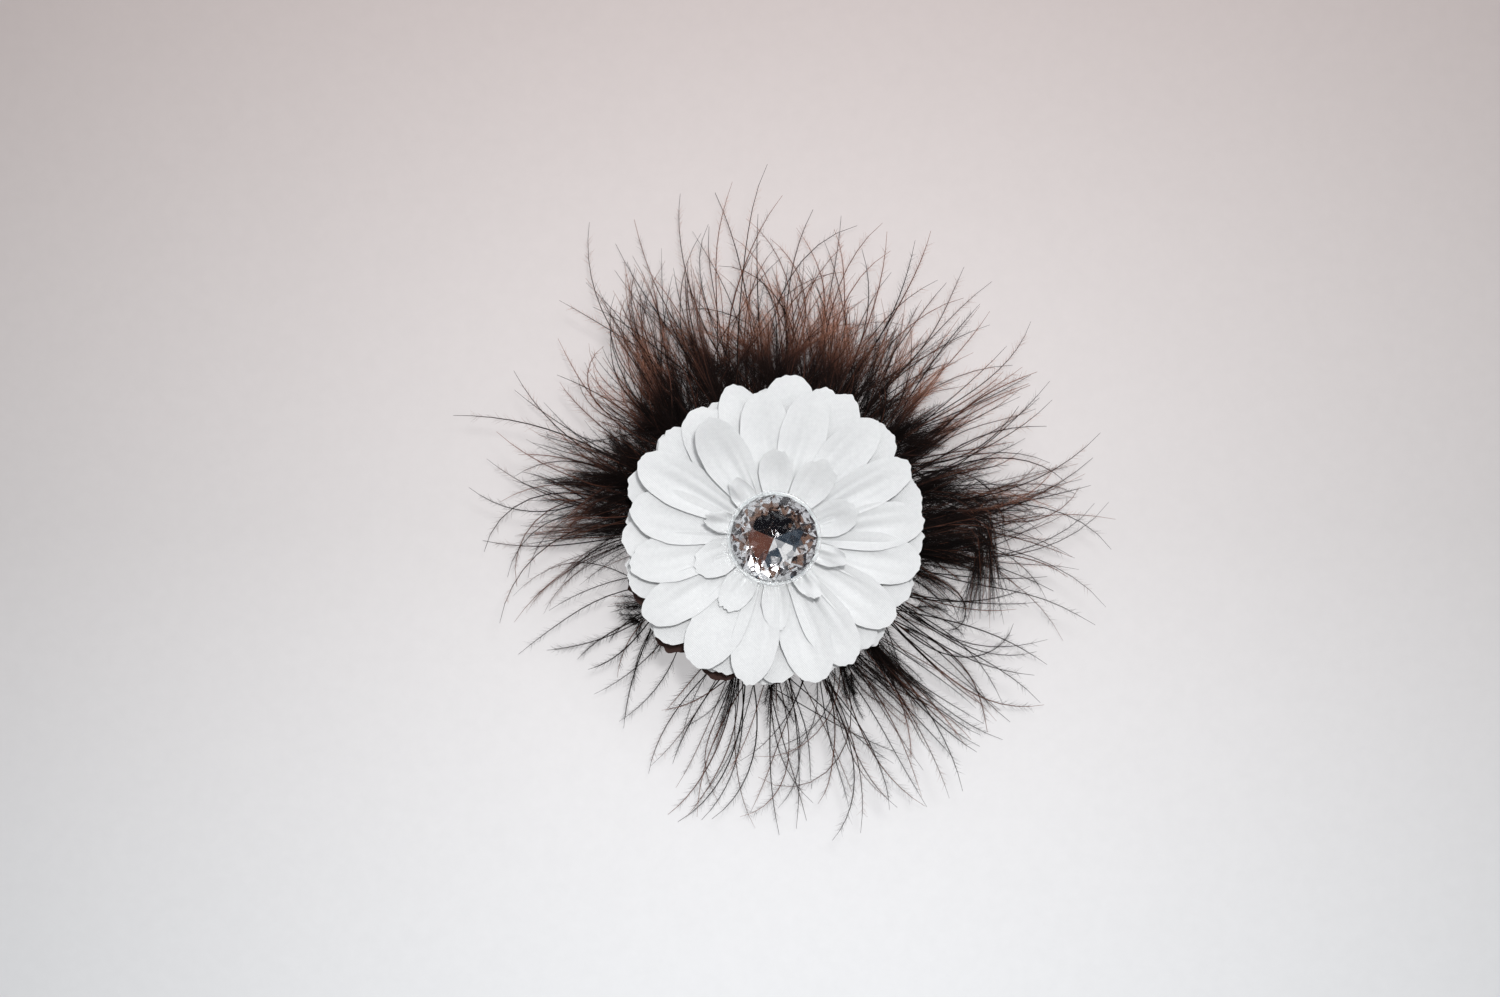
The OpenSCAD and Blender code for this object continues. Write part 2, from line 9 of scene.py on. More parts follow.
import bpy
import numpy as np
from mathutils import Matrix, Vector


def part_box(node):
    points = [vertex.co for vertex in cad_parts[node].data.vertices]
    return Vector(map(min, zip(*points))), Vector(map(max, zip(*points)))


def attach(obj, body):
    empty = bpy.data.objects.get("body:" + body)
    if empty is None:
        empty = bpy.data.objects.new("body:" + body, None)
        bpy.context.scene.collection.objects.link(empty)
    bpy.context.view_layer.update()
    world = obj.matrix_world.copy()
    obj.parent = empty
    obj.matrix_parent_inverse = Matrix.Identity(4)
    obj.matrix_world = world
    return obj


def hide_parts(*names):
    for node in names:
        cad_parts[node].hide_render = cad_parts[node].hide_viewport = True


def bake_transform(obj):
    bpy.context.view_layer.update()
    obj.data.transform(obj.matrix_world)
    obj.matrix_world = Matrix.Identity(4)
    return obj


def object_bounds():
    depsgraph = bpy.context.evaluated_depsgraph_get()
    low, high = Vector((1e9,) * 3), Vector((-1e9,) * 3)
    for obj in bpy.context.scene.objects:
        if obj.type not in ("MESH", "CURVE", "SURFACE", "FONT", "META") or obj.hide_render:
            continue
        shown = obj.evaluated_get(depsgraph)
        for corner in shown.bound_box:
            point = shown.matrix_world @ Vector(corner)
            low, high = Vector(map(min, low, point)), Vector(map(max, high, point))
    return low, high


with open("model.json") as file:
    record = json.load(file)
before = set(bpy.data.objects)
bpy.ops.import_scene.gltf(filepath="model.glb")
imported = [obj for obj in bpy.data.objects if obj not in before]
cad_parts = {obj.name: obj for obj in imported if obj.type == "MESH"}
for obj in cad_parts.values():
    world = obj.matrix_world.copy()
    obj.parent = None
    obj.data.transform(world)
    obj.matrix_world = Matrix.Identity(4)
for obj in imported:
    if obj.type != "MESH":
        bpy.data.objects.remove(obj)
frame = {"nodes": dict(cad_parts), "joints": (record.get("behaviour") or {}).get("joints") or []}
NODES = frame["nodes"]
CAD_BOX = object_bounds()
MM = 0.001
TINY = 1e-9
UP = np.array([0.0, 0.0, 1.0])


def span(node):
    """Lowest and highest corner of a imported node, in millimetres."""
    low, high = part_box(node)
    return np.array(low) / MM, np.array(high) / MM


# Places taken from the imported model
TABLE_Z = CAD_BOX[0][2] / MM
FELT_LOW, FELT_HIGH = span("felt_backing")
FELT_R = FELT_HIGH[0]
PAD_LOW, PAD_HIGH = span("feather_glue")
STRIP_LOW, STRIP_HIGH = span("glue_strip")
RIBBON_LOW, RIBBON_HIGH = span("clip_ribbon")
GEM_LOW, GEM_HIGH = span("gem")
BEAD_LOW, BEAD_HIGH = span("gem_glue")
UNDER_Z = span("under_petals")[0][2]
LEVER_TIP = span("upper_lever")[0][0]
HINGE = np.array(frame["joints"][0]["pos_m"]) / MM


# Meshes

def mesh_piece(name, points, faces, material, node, body="flower", smooth_angle=40):
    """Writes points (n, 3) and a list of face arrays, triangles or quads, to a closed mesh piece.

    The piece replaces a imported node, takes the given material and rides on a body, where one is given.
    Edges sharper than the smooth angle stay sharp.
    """
    points = np.asarray(points, float).reshape(-1, 3) * MM
    sizes = np.concatenate([np.full(len(f), f.shape[1]) for f in faces])
    corners = np.concatenate([f.ravel() for f in faces])
    starts = np.concatenate([[0], np.cumsum(sizes)[:-1]])
    mesh = bpy.data.meshes.new(name)
    mesh.vertices.add(len(points))
    mesh.vertices.foreach_set("co", points.ravel().astype(np.float32))
    mesh.loops.add(len(corners))
    mesh.loops.foreach_set("vertex_index", corners.astype(np.int32))
    mesh.polygons.add(len(sizes))
    mesh.polygons.foreach_set("loop_start", starts.astype(np.int32))
    mesh.polygons.foreach_set("use_smooth", np.ones(len(sizes), bool))
    mesh.update(calc_edges=True)
    mesh.validate()
    mesh.set_sharp_from_angle(angle=np.radians(smooth_angle))
    mesh.materials.append(material)
    piece = bpy.data.objects.new(name, mesh)
    bpy.context.scene.collection.objects.link(piece)
    if body:
        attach(piece, body)
    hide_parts(node)
    return piece


def point_values(piece, name, values):
    """Stores one number for each point of a piece, for its material to read."""
    attribute = piece.data.attributes.new(name, "FLOAT", "POINT")
    attribute.data.foreach_set("value", np.asarray(values, np.float32).ravel())


def grid_quads(rows, columns, wrap=False):
    """Corner numbers of the quads of a grid; with wrap the last column joins the first."""
    i = np.arange(rows - 1)[:, None] * columns
    j = np.arange(columns if wrap else columns - 1)[None, :]
    right = (j + 1) % columns
    corners = (i + j, i + columns + j, i + columns + right, i + right)
    return np.stack(np.broadcast_arrays(*corners), -1).reshape(-1, 4)


def ring_quads(rows, columns):
    """Corner numbers of the quads of a grid that closes on itself both ways, as a ring does."""
    return grid_quads(rows + 1, columns, wrap=True) % (rows * columns)


def unit(vectors):
    """Vectors scaled to a length of 1."""
    return vectors / np.maximum(np.linalg.norm(vectors, axis=-1, keepdims=True), TINY)


def normals_of(sheets):
    """Unit normals of grids (n, rows, columns, 3): the cross product of their two directions."""
    return unit(np.cross(np.gradient(sheets, axis=1), np.gradient(sheets, axis=2)))


def thin_shells(sheets, thickness):
    """Closes grids (n, rows, columns, 3) into shells: the grid, a copy set back along its normals, a rim."""
    count, rows, columns, _ = sheets.shape
    backs = sheets - thickness * normals_of(sheets)
    size = rows * columns
    top = grid_quads(rows, columns)
    edge = np.concatenate([
        np.arange(rows) * columns,
        (rows - 1) * columns + np.arange(1, columns),
        np.arange(rows - 2, -1, -1) * columns + columns - 1,
        np.arange(columns - 2, 0, -1)])
    ahead = np.roll(edge, -1)
    rim = np.stack([ahead, edge, edge + size, ahead + size], -1)
    one = np.concatenate([top, top[:, ::-1] + size, rim])
    points = np.stack([sheets.reshape(count, size, 3), backs.reshape(count, size, 3)], 1).reshape(-1, 3)
    faces = (one[None] + np.arange(count)[:, None, None] * 2 * size).reshape(-1, 4)
    return points, faces


def round_tubes(paths, radii, sides):
    """Tubes round paths (n, steps, 3) with radii (n, steps): rings square to the path, both ends closed.

    Each ring starts square to a direction that no path takes.
    """
    count, steps, _ = paths.shape
    never_along = np.array([0.0, 0.13, 1.0])
    along = unit(np.gradient(paths, axis=1))
    across = unit(np.cross(along, never_along))
    up = np.cross(across, along)
    turn = np.arange(sides) * 2 * np.pi / sides
    ring = np.cos(turn)[:, None] * across[:, :, None] + np.sin(turn)[:, None] * up[:, :, None]
    points = paths[:, :, None] + radii[:, :, None, None] * ring
    wall = grid_quads(steps, sides, wrap=True)[:, ::-1]
    fan = np.arange(1, sides - 1)
    cap = np.stack([np.zeros_like(fan), fan, fan + 1], -1)
    caps = np.concatenate([cap[:, ::-1], cap + (steps - 1) * sides])
    offset = np.arange(count)[:, None, None] * steps * sides
    walls = (wall[None] + offset).reshape(-1, 4)
    ends = (caps[None] + offset).reshape(-1, 3)
    return points.reshape(-1, 3), walls, ends


def turned(points, degrees):
    """Points turned about the flower's axis; degrees may be one number or one for each first index."""
    angle = np.radians(np.asarray(degrees, float))
    angle = angle.reshape(angle.shape + (1,) * (points.ndim - 1 - angle.ndim))
    x, y, z = np.moveaxis(points, -1, 0)
    return np.stack([x * np.cos(angle) - y * np.sin(angle), x * np.sin(angle) + y * np.cos(angle), z], -1)


def smooth(low, high, value):
    """Eases from 0 at low to 1 at high."""
    t = np.clip((value - low) / (high - low), 0, 1)
    return t * t * (3 - 2 * t)


# Shader groups and materials

THREAD_PITCH = 0.34
RIB_PITCH = 0.8
CLEAR_SHARE = 0.9

# Numbers of the sockets of a node that mixes two colours
MIX_SHARE = 0
MIX_TONES = (6, 7)
MIX_RESULT = 2


def colour(red, green, blue):
    """A colour picked as 8-bit values, as the linear value that a socket takes."""
    c = np.array([red, green, blue]) / 255
    linear = np.where(c <= 0.04045, c / 12.92, ((c + 0.055) / 1.055) ** 2.4)
    return (*linear, 1.0)


def feed(tree, socket, value):
    """Links an input to a socket, or sets it to a plain number, vector or colour."""
    if isinstance(value, bpy.types.NodeSocket):
        tree.links.new(value, socket)
    elif socket.type == "RGBA":
        socket.default_value = (*value[:3], 1.0)
    else:
        socket.default_value = value


def add(tree, kind, *values, **settings):
    """A new node: settings name its properties or inputs, and values feed its first inputs in turn."""
    made = tree.nodes.new(kind)
    for key, value in settings.items():
        if hasattr(made, key):
            setattr(made, key, value)
        else:
            feed(tree, made.inputs[key.replace("_", " ")], value)
    for socket, value in zip(made.inputs, values):
        feed(tree, socket, value)
    return made


def math(tree, operation, *values):
    """A math node fed by sockets or numbers in turn; returns its output."""
    return add(tree, "ShaderNodeMath", *values, operation=operation).outputs[0]


def vector_math(tree, operation, *values, **settings):
    """A vector math node fed by sockets or vectors in turn; returns its outputs, Vector and Value."""
    return add(tree, "ShaderNodeVectorMath", *values, operation=operation, **settings).outputs


def ranged(tree, value, low, high, **settings):
    """A value mapped so that low gives 0 and high gives 1, unless the settings name other ends."""
    return add(tree, "ShaderNodeMapRange", value, From_Min=low, From_Max=high, **settings).outputs[0]


def mix_colours(tree, first, second, share):
    """A colour that runs from first to second, each a socket or a colour, as share runs from 0 to 1."""
    mixed = add(tree, "ShaderNodeMix", data_type="RGBA")
    feed(tree, mixed.inputs[MIX_SHARE], share)
    for number, tone in zip(MIX_TONES, (first, second)):
        feed(tree, mixed.inputs[number], tone)
    return mixed.outputs[MIX_RESULT]


def colour_ramp(tree, share, first, last, *between):
    """A colour that runs from first to last as share runs from 0 to 1, by way of the stops between."""
    made = add(tree, "ShaderNodeValToRGB", share)
    stops = made.color_ramp.elements
    stops[0].color = first
    stops[1].color = last
    for stop, tone in between:
        stops.new(stop).color = tone
    return made.outputs["Color"]


def shader_group(name, values, result):
    """A node group with a vector input, named number inputs and one number output, and its two ends."""
    group = bpy.data.node_groups.new(name, "ShaderNodeTree")
    group.interface.new_socket("Vector", in_out="INPUT", socket_type="NodeSocketVector")
    for label in values:
        group.interface.new_socket(label, in_out="INPUT", socket_type="NodeSocketFloat")
    group.interface.new_socket(result, in_out="OUTPUT", socket_type="NodeSocketFloat")
    return group, group.nodes.new("NodeGroupInput").outputs, group.nodes.new("NodeGroupOutput").inputs


def weave_group():
    """Plain weave: the product of two sines across the cloth lifts every second crossing of the threads."""
    group, given, made = shader_group("thread_weave", ["Pitch"], "Height")
    split = add(group, "ShaderNodeSeparateXYZ", given["Vector"]).outputs
    rate = math(group, "DIVIDE", np.pi, given["Pitch"])
    waves = [math(group, "SINE", math(group, "MULTIPLY", split[axis], rate)) for axis in ("X", "Y")]
    group.links.new(math(group, "MULTIPLY", *waves), made["Height"])
    return group


def mottle_group():
    """Soft cloudy variation: noise on the surface, spread over a range from Low to High."""
    group, given, made = shader_group("soft_mottle", ["Scale", "Low", "High"], "Value")
    noise = add(group, "ShaderNodeTexNoise", Vector=given["Vector"], Scale=given["Scale"],
                Detail=4.0, Roughness=0.6).outputs[0]
    value = ranged(group, noise, 0.3, 0.7, To_Min=given["Low"], To_Max=given["High"])
    group.links.new(value, made["Value"])
    return group


WEAVE = weave_group()
MOTTLE = mottle_group()


def new_material(name, **settings):
    """A material with one Principled shader whose plain values are set on its own sockets."""
    material = bpy.data.materials.new(name)
    material.use_nodes = True
    tree = material.node_tree
    shader = tree.nodes["Principled BSDF"]
    for key, value in settings.items():
        shader.inputs[key.replace("_", " ")].default_value = value
    place = add(tree, "ShaderNodeTexCoord").outputs["Object"]
    return material, tree, shader, place


def mottle(tree, place, scale, low=0.0, high=1.0):
    """The soft mottle group on a place socket, its scale in cells to a metre; returns its value."""
    made = add(tree, "ShaderNodeGroup", node_tree=MOTTLE, Vector=place, Scale=scale, Low=low, High=high)
    return made.outputs["Value"]


def weave(tree, place, pitch):
    """The thread weave group on a place socket, its pitch in millimetres; returns its height."""
    made = add(tree, "ShaderNodeGroup", node_tree=WEAVE, Vector=place, Pitch=pitch * MM)
    return made.outputs["Height"]


def base_colour(tree, shader, share, first, last, *between):
    """Base colour by a colour ramp over share."""
    tree.links.new(colour_ramp(tree, share, first, last, *between), shader.inputs["Base Color"])


def bump(tree, shader, height, strength, depth):
    """Bump from a height socket, its depth in millimetres, into the shader's normal."""
    made = add(tree, "ShaderNodeBump", Strength=strength, Distance=depth * MM, Height=height)
    tree.links.new(made.outputs["Normal"], shader.inputs["Normal"])


def petal_cloth(name, shade, light):
    """Stiffened woven fabric: a fine weave with uneven threads, cloudy tone and a faint nap, with painted
    shade that darkens the weave between its crossings.
    """
    material, tree, shader, place = new_material(
        name, Roughness=0.82, Sheen_Weight=0.2, Sheen_Roughness=0.5, Specular_IOR_Level=0.25)
    grain = math(tree, "ADD", weave(tree, place, THREAD_PITCH), mottle(tree, place, 900, -0.6, 0.6))
    clouds = mottle(tree, place, 70, 0.3, 0.7)
    # Painted shade: the weave's height also sets the tone, darker between the crossings; the uneven threads
    # and clouds vary it at random
    base_colour(tree, shader, math(tree, "MULTIPLY_ADD", grain, 0.3, clouds), shade, light)
    bump(tree, shader, grain, strength=0.5, depth=0.06)
    return material


def feather_down():
    """Dyed down: from nearly black to red-brown and pale brown, as the shade attribute says, which holds the
    dye's tone and painted shade near the petals.
    """
    material, tree, shader, place = new_material("feather_down", Roughness=0.6, Specular_IOR_Level=0.12)
    shade = add(tree, "ShaderNodeAttribute", attribute_name="shade").outputs["Fac"]
    share = math(tree, "ADD", shade, mottle(tree, place, 90, -0.05, 0.05))
    base_colour(tree, shader, share, colour(11, 8, 8), colour(212, 152, 126),
                (0.22, colour(45, 31, 28)), (0.55, colour(117, 77, 63)))
    return material


def clear_shadow(material):
    """Lets most of a lamp's light go straight through a clear solid, so that its shadow is faint."""
    tree = material.node_tree
    shadow = add(tree, "ShaderNodeLightPath").outputs["Is Shadow Ray"]
    through = add(tree, "ShaderNodeBsdfTransparent").outputs[0]
    solid = tree.nodes["Principled BSDF"].outputs[0]
    mixed = add(tree, "ShaderNodeMixShader", math(tree, "MULTIPLY", shadow, CLEAR_SHARE), solid, through)
    tree.links.new(mixed.outputs[0], tree.nodes["Material Output"].inputs["Surface"])


def clear_acrylic():
    """Clear polished acrylic with faint handling haze."""
    material, tree, shader, place = new_material(
        "clear_acrylic", Base_Color=(0.985, 0.985, 0.98, 1), IOR=1.49, Transmission_Weight=1.0)
    tree.links.new(mottle(tree, place, 300, 0.0, 0.03), shader.inputs["Roughness"])
    clear_shadow(material)
    return material


def mirror_foil():
    """Bright silver foil, creased into small flat cells that each tilt their own way.

    Within a cell the height is the dot product of the cell's own tilt and the way from its middle.
    """
    material, tree, shader, place = new_material("mirror_foil", Metallic=1.0, Roughness=0.03)
    base_colour(tree, shader, mottle(tree, place, 250), colour(225, 226, 230), colour(246, 246, 248))
    cells = add(tree, "ShaderNodeTexVoronoi", Vector=place, Scale=330.0).outputs
    way = vector_math(tree, "SUBTRACT", place, cells["Position"])["Vector"]
    tilt = vector_math(tree, "SUBTRACT", cells["Color"], (0.5, 0.5, 0.5))["Vector"]
    bump(tree, shader, vector_math(tree, "DOT_PRODUCT", way, tilt)["Value"], strength=1.0, depth=150)
    return material


def mottled(name, shade, light, clouds, lumps, strength, depth, **settings):
    """A finish with cloudy tone and uneven height: noise of two scales, clouds and lumps to a metre."""
    material, tree, shader, place = new_material(name, **settings)
    base_colour(tree, shader, mottle(tree, place, clouds), shade, light)
    bump(tree, shader, mottle(tree, place, lumps), strength, depth)
    return material


def hot_glue(name, shade, light, **settings):
    """Set glue: glossy, slightly cloudy and lumpy."""
    return mottled(name, shade, light, clouds=220, lumps=260, strength=0.25, depth=0.3,
                   Roughness=0.15, IOR=1.48, **settings)


def stud_plastic():
    """Moulded soft plastic with a faint cloudy tone."""
    return mottled("stud_plastic", colour(226, 222, 212), colour(238, 235, 228), clouds=150, lumps=1200,
                   strength=0.1, depth=0.05, Roughness=0.42)


def pressed_felt():
    """Pressed felt: matted fibres as fine noise in both tone and height."""
    return mottled("pressed_felt", colour(36, 26, 24), colour(66, 50, 46), clouds=1500, lumps=2200,
                   strength=0.7, depth=0.15, Roughness=0.95, Sheen_Weight=0.4, Specular_IOR_Level=0.15)


def ribbed_ribbon():
    """Ribbed ribbon: a sine of the along attribute, in metres, gives a cord across it at every rib pitch, and
    painted shade in the troughs between the cords.
    """
    material, tree, shader, place = new_material(
        "ribbed_ribbon", Roughness=0.7, Sheen_Weight=0.3, Specular_IOR_Level=0.3)
    along = add(tree, "ShaderNodeAttribute", attribute_name="along").outputs["Fac"]
    ribs = math(tree, "SINE", math(tree, "MULTIPLY", along, 2 * np.pi / (RIB_PITCH * MM)))
    # Painted shade: the tone follows the ribs' height, darker in the troughs between them
    share = math(tree, "MULTIPLY_ADD", ribs, 0.35, 0.5)
    base_colour(tree, shader, share, colour(40, 28, 25), colour(74, 54, 48))
    uneven = math(tree, "ADD", ribs, mottle(tree, place, 1800, -0.2, 0.2))
    bump(tree, shader, uneven, strength=0.6, depth=0.12)
    return material


def bright_steel(name, shade, light, grain):
    """Plated or drawn steel: fine scratches, as noise stretched along the clip, and uneven polish."""
    material, tree, shader, place = new_material(name, Metallic=1.0)
    stretched = add(tree, "ShaderNodeMapping", Vector=place, Scale=(60, grain, grain)).outputs[0]
    scratches = mottle(tree, stretched, 1.0)
    base_colour(tree, shader, mottle(tree, place, 120), shade, light)
    tree.links.new(math(tree, "MULTIPLY_ADD", scratches, 0.14, 0.16), shader.inputs["Roughness"])
    bump(tree, shader, scratches, strength=0.06, depth=0.05)
    return material


WHITE_CLOTH = petal_cloth("white_petal_cloth", colour(216, 217, 218), colour(236, 237, 237))
BROWN_CLOTH = petal_cloth("brown_petal_cloth", colour(52, 34, 30), colour(66, 44, 38))
DOWN = feather_down()
CLEAR_GLUE = hot_glue("clear_glue", colour(236, 240, 242), colour(248, 250, 250), Transmission_Weight=0.85)
clear_shadow(CLEAR_GLUE)
PAD_GLUE = hot_glue("pad_glue", colour(205, 198, 182), colour(224, 219, 206), Subsurface_Weight=0.2)
FELT = pressed_felt()
RIBBON = ribbed_ribbon()
STUD = stud_plastic()
PLATED = bright_steel("plated_steel", colour(186, 185, 182), colour(214, 213, 210), grain=1400)
DRAWN = bright_steel("spring_wire", colour(128, 128, 130), colour(160, 160, 162), grain=900)

for node, material in {
        "gem": clear_acrylic(), "gem_foil": mirror_foil(), "petal_stud": STUD, "stud_collar": STUD,
        "upper_lever": PLATED, "lower_lever": PLATED, "hinge_pin": PLATED}.items():
    NODES[node].data.materials.clear()
    NODES[node].data.materials.append(material)


# Petals

PEG_R = 2.2
HUB_R = 9.0
HUB_Z = UNDER_Z + 0.2
LAYER_STEP = 0.55
FOOT_R = 6.0
CLOTH_T = 0.25
PETAL_ROLL = 3.0
PETAL_ROWS = 40
PETAL_COLUMNS = 27


def petal_sheets(rows, half_width, tip_depth, rise, seed, lift, groove=0.9, cup=0.7, fray=0.17,
                 widths=1.0, crumple=0.0):
    """Petals as grids (n, rows, columns, 3), one for each row of direction, reach, lift and curl.

    A line at share u across the petal runs out from the foot to the tip. The tip is a round end: each line
    stops short by tip_depth times 1 - sqrt(1 - |u|^p), with a little fray and p near 2, an ellipse. The width
    eases from the foot to the full half width at two thirds of the length. The height is the rise, eased so
    that the petal levels out, plus the petal's own lift and curl, a groove along its middle, two fainter
    creases, turned-up flanks, a slight roll and a slow wave. widths narrows single petals, and crumple gives
    them a wave both ways.
    """
    random = np.random.default_rng(seed)
    direction, reach, own_lift, curl = np.array(rows, float).T[:, :, None, None]
    count = len(rows)
    u = np.linspace(-1, 1, PETAL_COLUMNS)[None, None]
    v = np.linspace(0, 1, PETAL_ROWS)[None, :, None]
    wide, drift, raised, deep, off, rolled = random.normal(size=(6, count, 1, 1))
    widths, crumple = (np.broadcast_to(value, count)[:, None, None] for value in (widths, crumple))
    ragged = random.normal(size=(count, 1, PETAL_COLUMNS))
    ragged = fray * (ragged + 0.5 * np.roll(ragged, 1, 2) + 0.5 * np.roll(ragged, -1, 2))
    roundness = np.clip(2.1 + 0.12 * deep, 1.9, 2.4)
    length = reach - FOOT_R - tip_depth * (1 - np.sqrt(1 - np.abs(u) ** roundness)) + ragged
    s = v * length
    t = s / (reach - FOOT_R)
    width = half_width * widths * (1 + 0.04 * wide) * (0.4 + 0.6 * smooth(0, 0.68, t))
    sideways = u * width + (0.7 * drift) * t ** 2
    out = smooth(0.08, 0.3, t)
    fade = out * (1 - smooth(0.5, 1.0, t))
    height = rise * (1 - (1 - np.clip(t, 0, 1)) ** 1.4)
    height = height + (lift * raised + own_lift) * t ** 1.6 + curl * smooth(0.55, 1.05, t) * t
    height = height - groove * (1 + 0.3 * deep) * np.exp(-((u - 0.1 * off) / 0.26) ** 2) * fade
    height = height - 0.35 * groove * np.exp(-((np.abs(u) - 0.5) / 0.12) ** 2) * fade
    height = height + cup * out * np.abs(u) ** 2.2 * (1 - 0.9 * smooth(0.6, 1.0, t))
    height = height - 0.35 * smooth(0.75, 1.0, np.abs(u)) * smooth(0.6, 1.0, t)
    height = height + np.tan(np.radians(PETAL_ROLL + 1.2 * rolled)) * u * width * out
    height = height + 0.05 * np.sin(9 * t + 6 * wide + 2.5 * u) * out
    height = height + crumple * np.sin(4 * u + 5 * wide) * np.sin(7 * t + 3 * drift) * out
    sheets = np.stack(np.broadcast_arrays(FOOT_R + s, sideways, height), -1)
    return turned(sheets, direction[:, 0, 0])


def hub_ring(z):
    """Flat ring of cloth at the middle of a layer, from the stud's peg out to the petals' feet."""
    around = np.linspace(0, 2 * np.pi, 49)[None, None, :]
    r = np.linspace(PEG_R, HUB_R, 4)[None, :, None]
    return np.stack(np.broadcast_arrays(r * np.cos(around), r * np.sin(around), z), -1)


def petal_layer(name, node, sheets, z, material):
    """One layer as a single piece: its petals and its hub ring."""
    sheets = sheets + np.array([0, 0, z + CLOTH_T])
    points, faces = thin_shells(sheets, CLOTH_T)
    hub_points, hub_faces = thin_shells(hub_ring(z + CLOTH_T), CLOTH_T)
    piece = mesh_piece(name, np.concatenate([points, hub_points]), [faces, hub_faces + len(points)],
                       material, node, smooth_angle=50)


# Each row: direction in degrees, reach, lift of the whole petal at its tip, and curl of the tip
TOP_ROWS = [
    (95.3, 42.1, 0.5, 0.3), (74, 43.3, 0.2, 0.0), (50.9, 44.4, 0.6, 0.2), (28.8, 44.1, 1.0, 0.2),
    (5.5, 43.0, 0.4, 0.0), (-11, 42.4, -0.4, -0.2), (-35, 41.6, 0.5, 0.2), (-58.4, 41.9, 0.0, 0.0),
    (-73, 43.0, 0.7, 0.2), (-100.6, 42.4, 0.6, 0.0), (-122.8, 43.0, 0.2, 0.0), (-146.8, 43.6, 0.5, 0.1),
    (-169.8, 41.9, 0.0, 0.0), (168.5, 41.9, 0.7, 0.2), (149.3, 44.4, 1.4, 0.4), (120.6, 39.0, 2.6, 2.2)]
MIDDLE_ROWS = [
    (85, 47.0, 0.0, 0.0), (104, 45.3, 0.2, 0.0), (122.6, 43.4, 0.0, 0.0), (135.5, 43.6, 0.0, 0.0),
    (157.7, 44.7, 0.1, 0.0), (178.4, 43.6, 0.0, 0.0), (-164.4, 43.6, 0.1, 0.0), (-140, 44.1, 0.0, 0.0),
    (-113.5, 41.8, 0.0, 0.0), (-88, 41.4, 0.0, 0.0), (-66, 41.2, 0.0, 0.0), (-46.5, 41.6, 0.0, 0.0),
    (-23.3, 42.1, 0.0, 0.0), (-3, 42.7, 0.2, 0.0), (15.8, 44.1, 0.0, 0.0), (42.5, 45.3, 0.0, 0.0),
    (62.8, 46.4, 0.1, 0.0)]
INNER_ROWS = [
    (88, 25.5, 2.2, 1.6), (55, 26.5, 1.8, 1.4), (18, 25.0, 0.8, 2.0), (-18, 21.5, 1.5, 2.4),
    (-54, 21.0, 1.5, 2.2), (-90, 26.5, 0.6, 0.3), (-126, 24.5, 0.3, 0.3), (-162, 24.0, 0.3, 0.4),
    (162, 20.5, 1.6, 2.6), (126, 20.5, 1.4, 2.4)]
INNER_WIDTHS = [1, 1.1, 1, 0.65, 0.65, 0.75, 1, 1, 0.65, 0.65]
INNER_CRUMPLE = [0, 0.1, 0.3, 0.8, 0.8, 0.1, 0.1, 0.1, 0.8, 0.8]

# Petals with no lift or curl of their own: direction and reach
LOWER_TIPS = [
    (69, 45.6), (91.5, 42.8), (114, 42.6), (138, 43.4), (153, 42.4), (172.5, 42.8), (-167, 43.4),
    (-143, 43.6), (-117, 42.6), (-93, 42.2), (-70, 41.8), (-43.5, 42.4), (-20, 42.2), (1, 42.4),
    (23, 43.4), (46, 45.2)]
LOWER_ROWS = [(*tip, 0, 0) for tip in LOWER_TIPS]

# Even scallops, which reach further out towards the lower left
UNDER_COUNT = 16
UNDER_TURN = 22.5
UNDER_ROWS = [
    (22 + UNDER_TURN * i, 40.5 + 4.6 * max(0, np.cos(np.radians(UNDER_TURN * i - 203))) ** 3, 0, 0)
    for i in range(UNDER_COUNT)]

# Layers from the lowest up: piece, node, cloth, slot, then rows, half width, depth of the round tip, rise at
# the rim and seed, and what else sets the petals apart
LAYERS = [
    ("dark_under_petals", "under_petals", BROWN_CLOTH, "brown_fabric",
     (UNDER_ROWS, 8.2, 10.5, 0.4, 11), {"lift": 0.2, "cup": 0.2}),
    ("white_lower_petals", "lower_petals", WHITE_CLOTH, "white_fabric",
     (LOWER_ROWS, 6.7, 12.5, 2.0, 12), {"lift": 0.2, "cup": 0.3}),
    ("white_middle_petals", "middle_petals", WHITE_CLOTH, "white_fabric",
     (MIDDLE_ROWS, 7.7, 12.5, 3.6, 13), {"lift": 0.2, "cup": 0.35}),
    ("white_top_petals", "top_petals", WHITE_CLOTH, "white_fabric",
     (TOP_ROWS, 7.0, 12.5, 5.2, 14), {"lift": 0.3}),
    ("white_inner_petals", "inner_petals", WHITE_CLOTH, "white_fabric",
     (INNER_ROWS, 5.2, 7.5, 3.2, 15),
     {"lift": 0.3, "groove": 0.6, "cup": 0.9, "fray": 0.25,
      "widths": INNER_WIDTHS, "crumple": INNER_CRUMPLE})]

for level, (name, node, cloth, slot, form, own) in enumerate(LAYERS):
    petal_layer(name, node, petal_sheets(*form, **own), HUB_Z + level * LAYER_STEP, cloth)


# Feathers

QUILL_ROOT = 6.0
QUILL_END = 46.0
QUILL_STEPS = 20
QUILL_THICK = (0.45, 0.12)
LOW_TIER_Z = 4.1
HIGH_TIER_Z = 5.45
HIGH_TIER_LIFT = 4.0
TABLE_CLEAR = 0.25
PETAL_RIM = 45.5

# Barbs leave the quill from FLUFF_FOOT outwards. Those of a wisp meet at a radius in MEETING
FLUFF_FOOT = 16.0
WISP_SIZE = 9
MEETING = (58, 84)
BARB_STEPS = 14
BARB_SIDES = 3
BARB_THICK = (0.14, 0.21)
MOST_BEND = 62.0
LOFT = 3.0

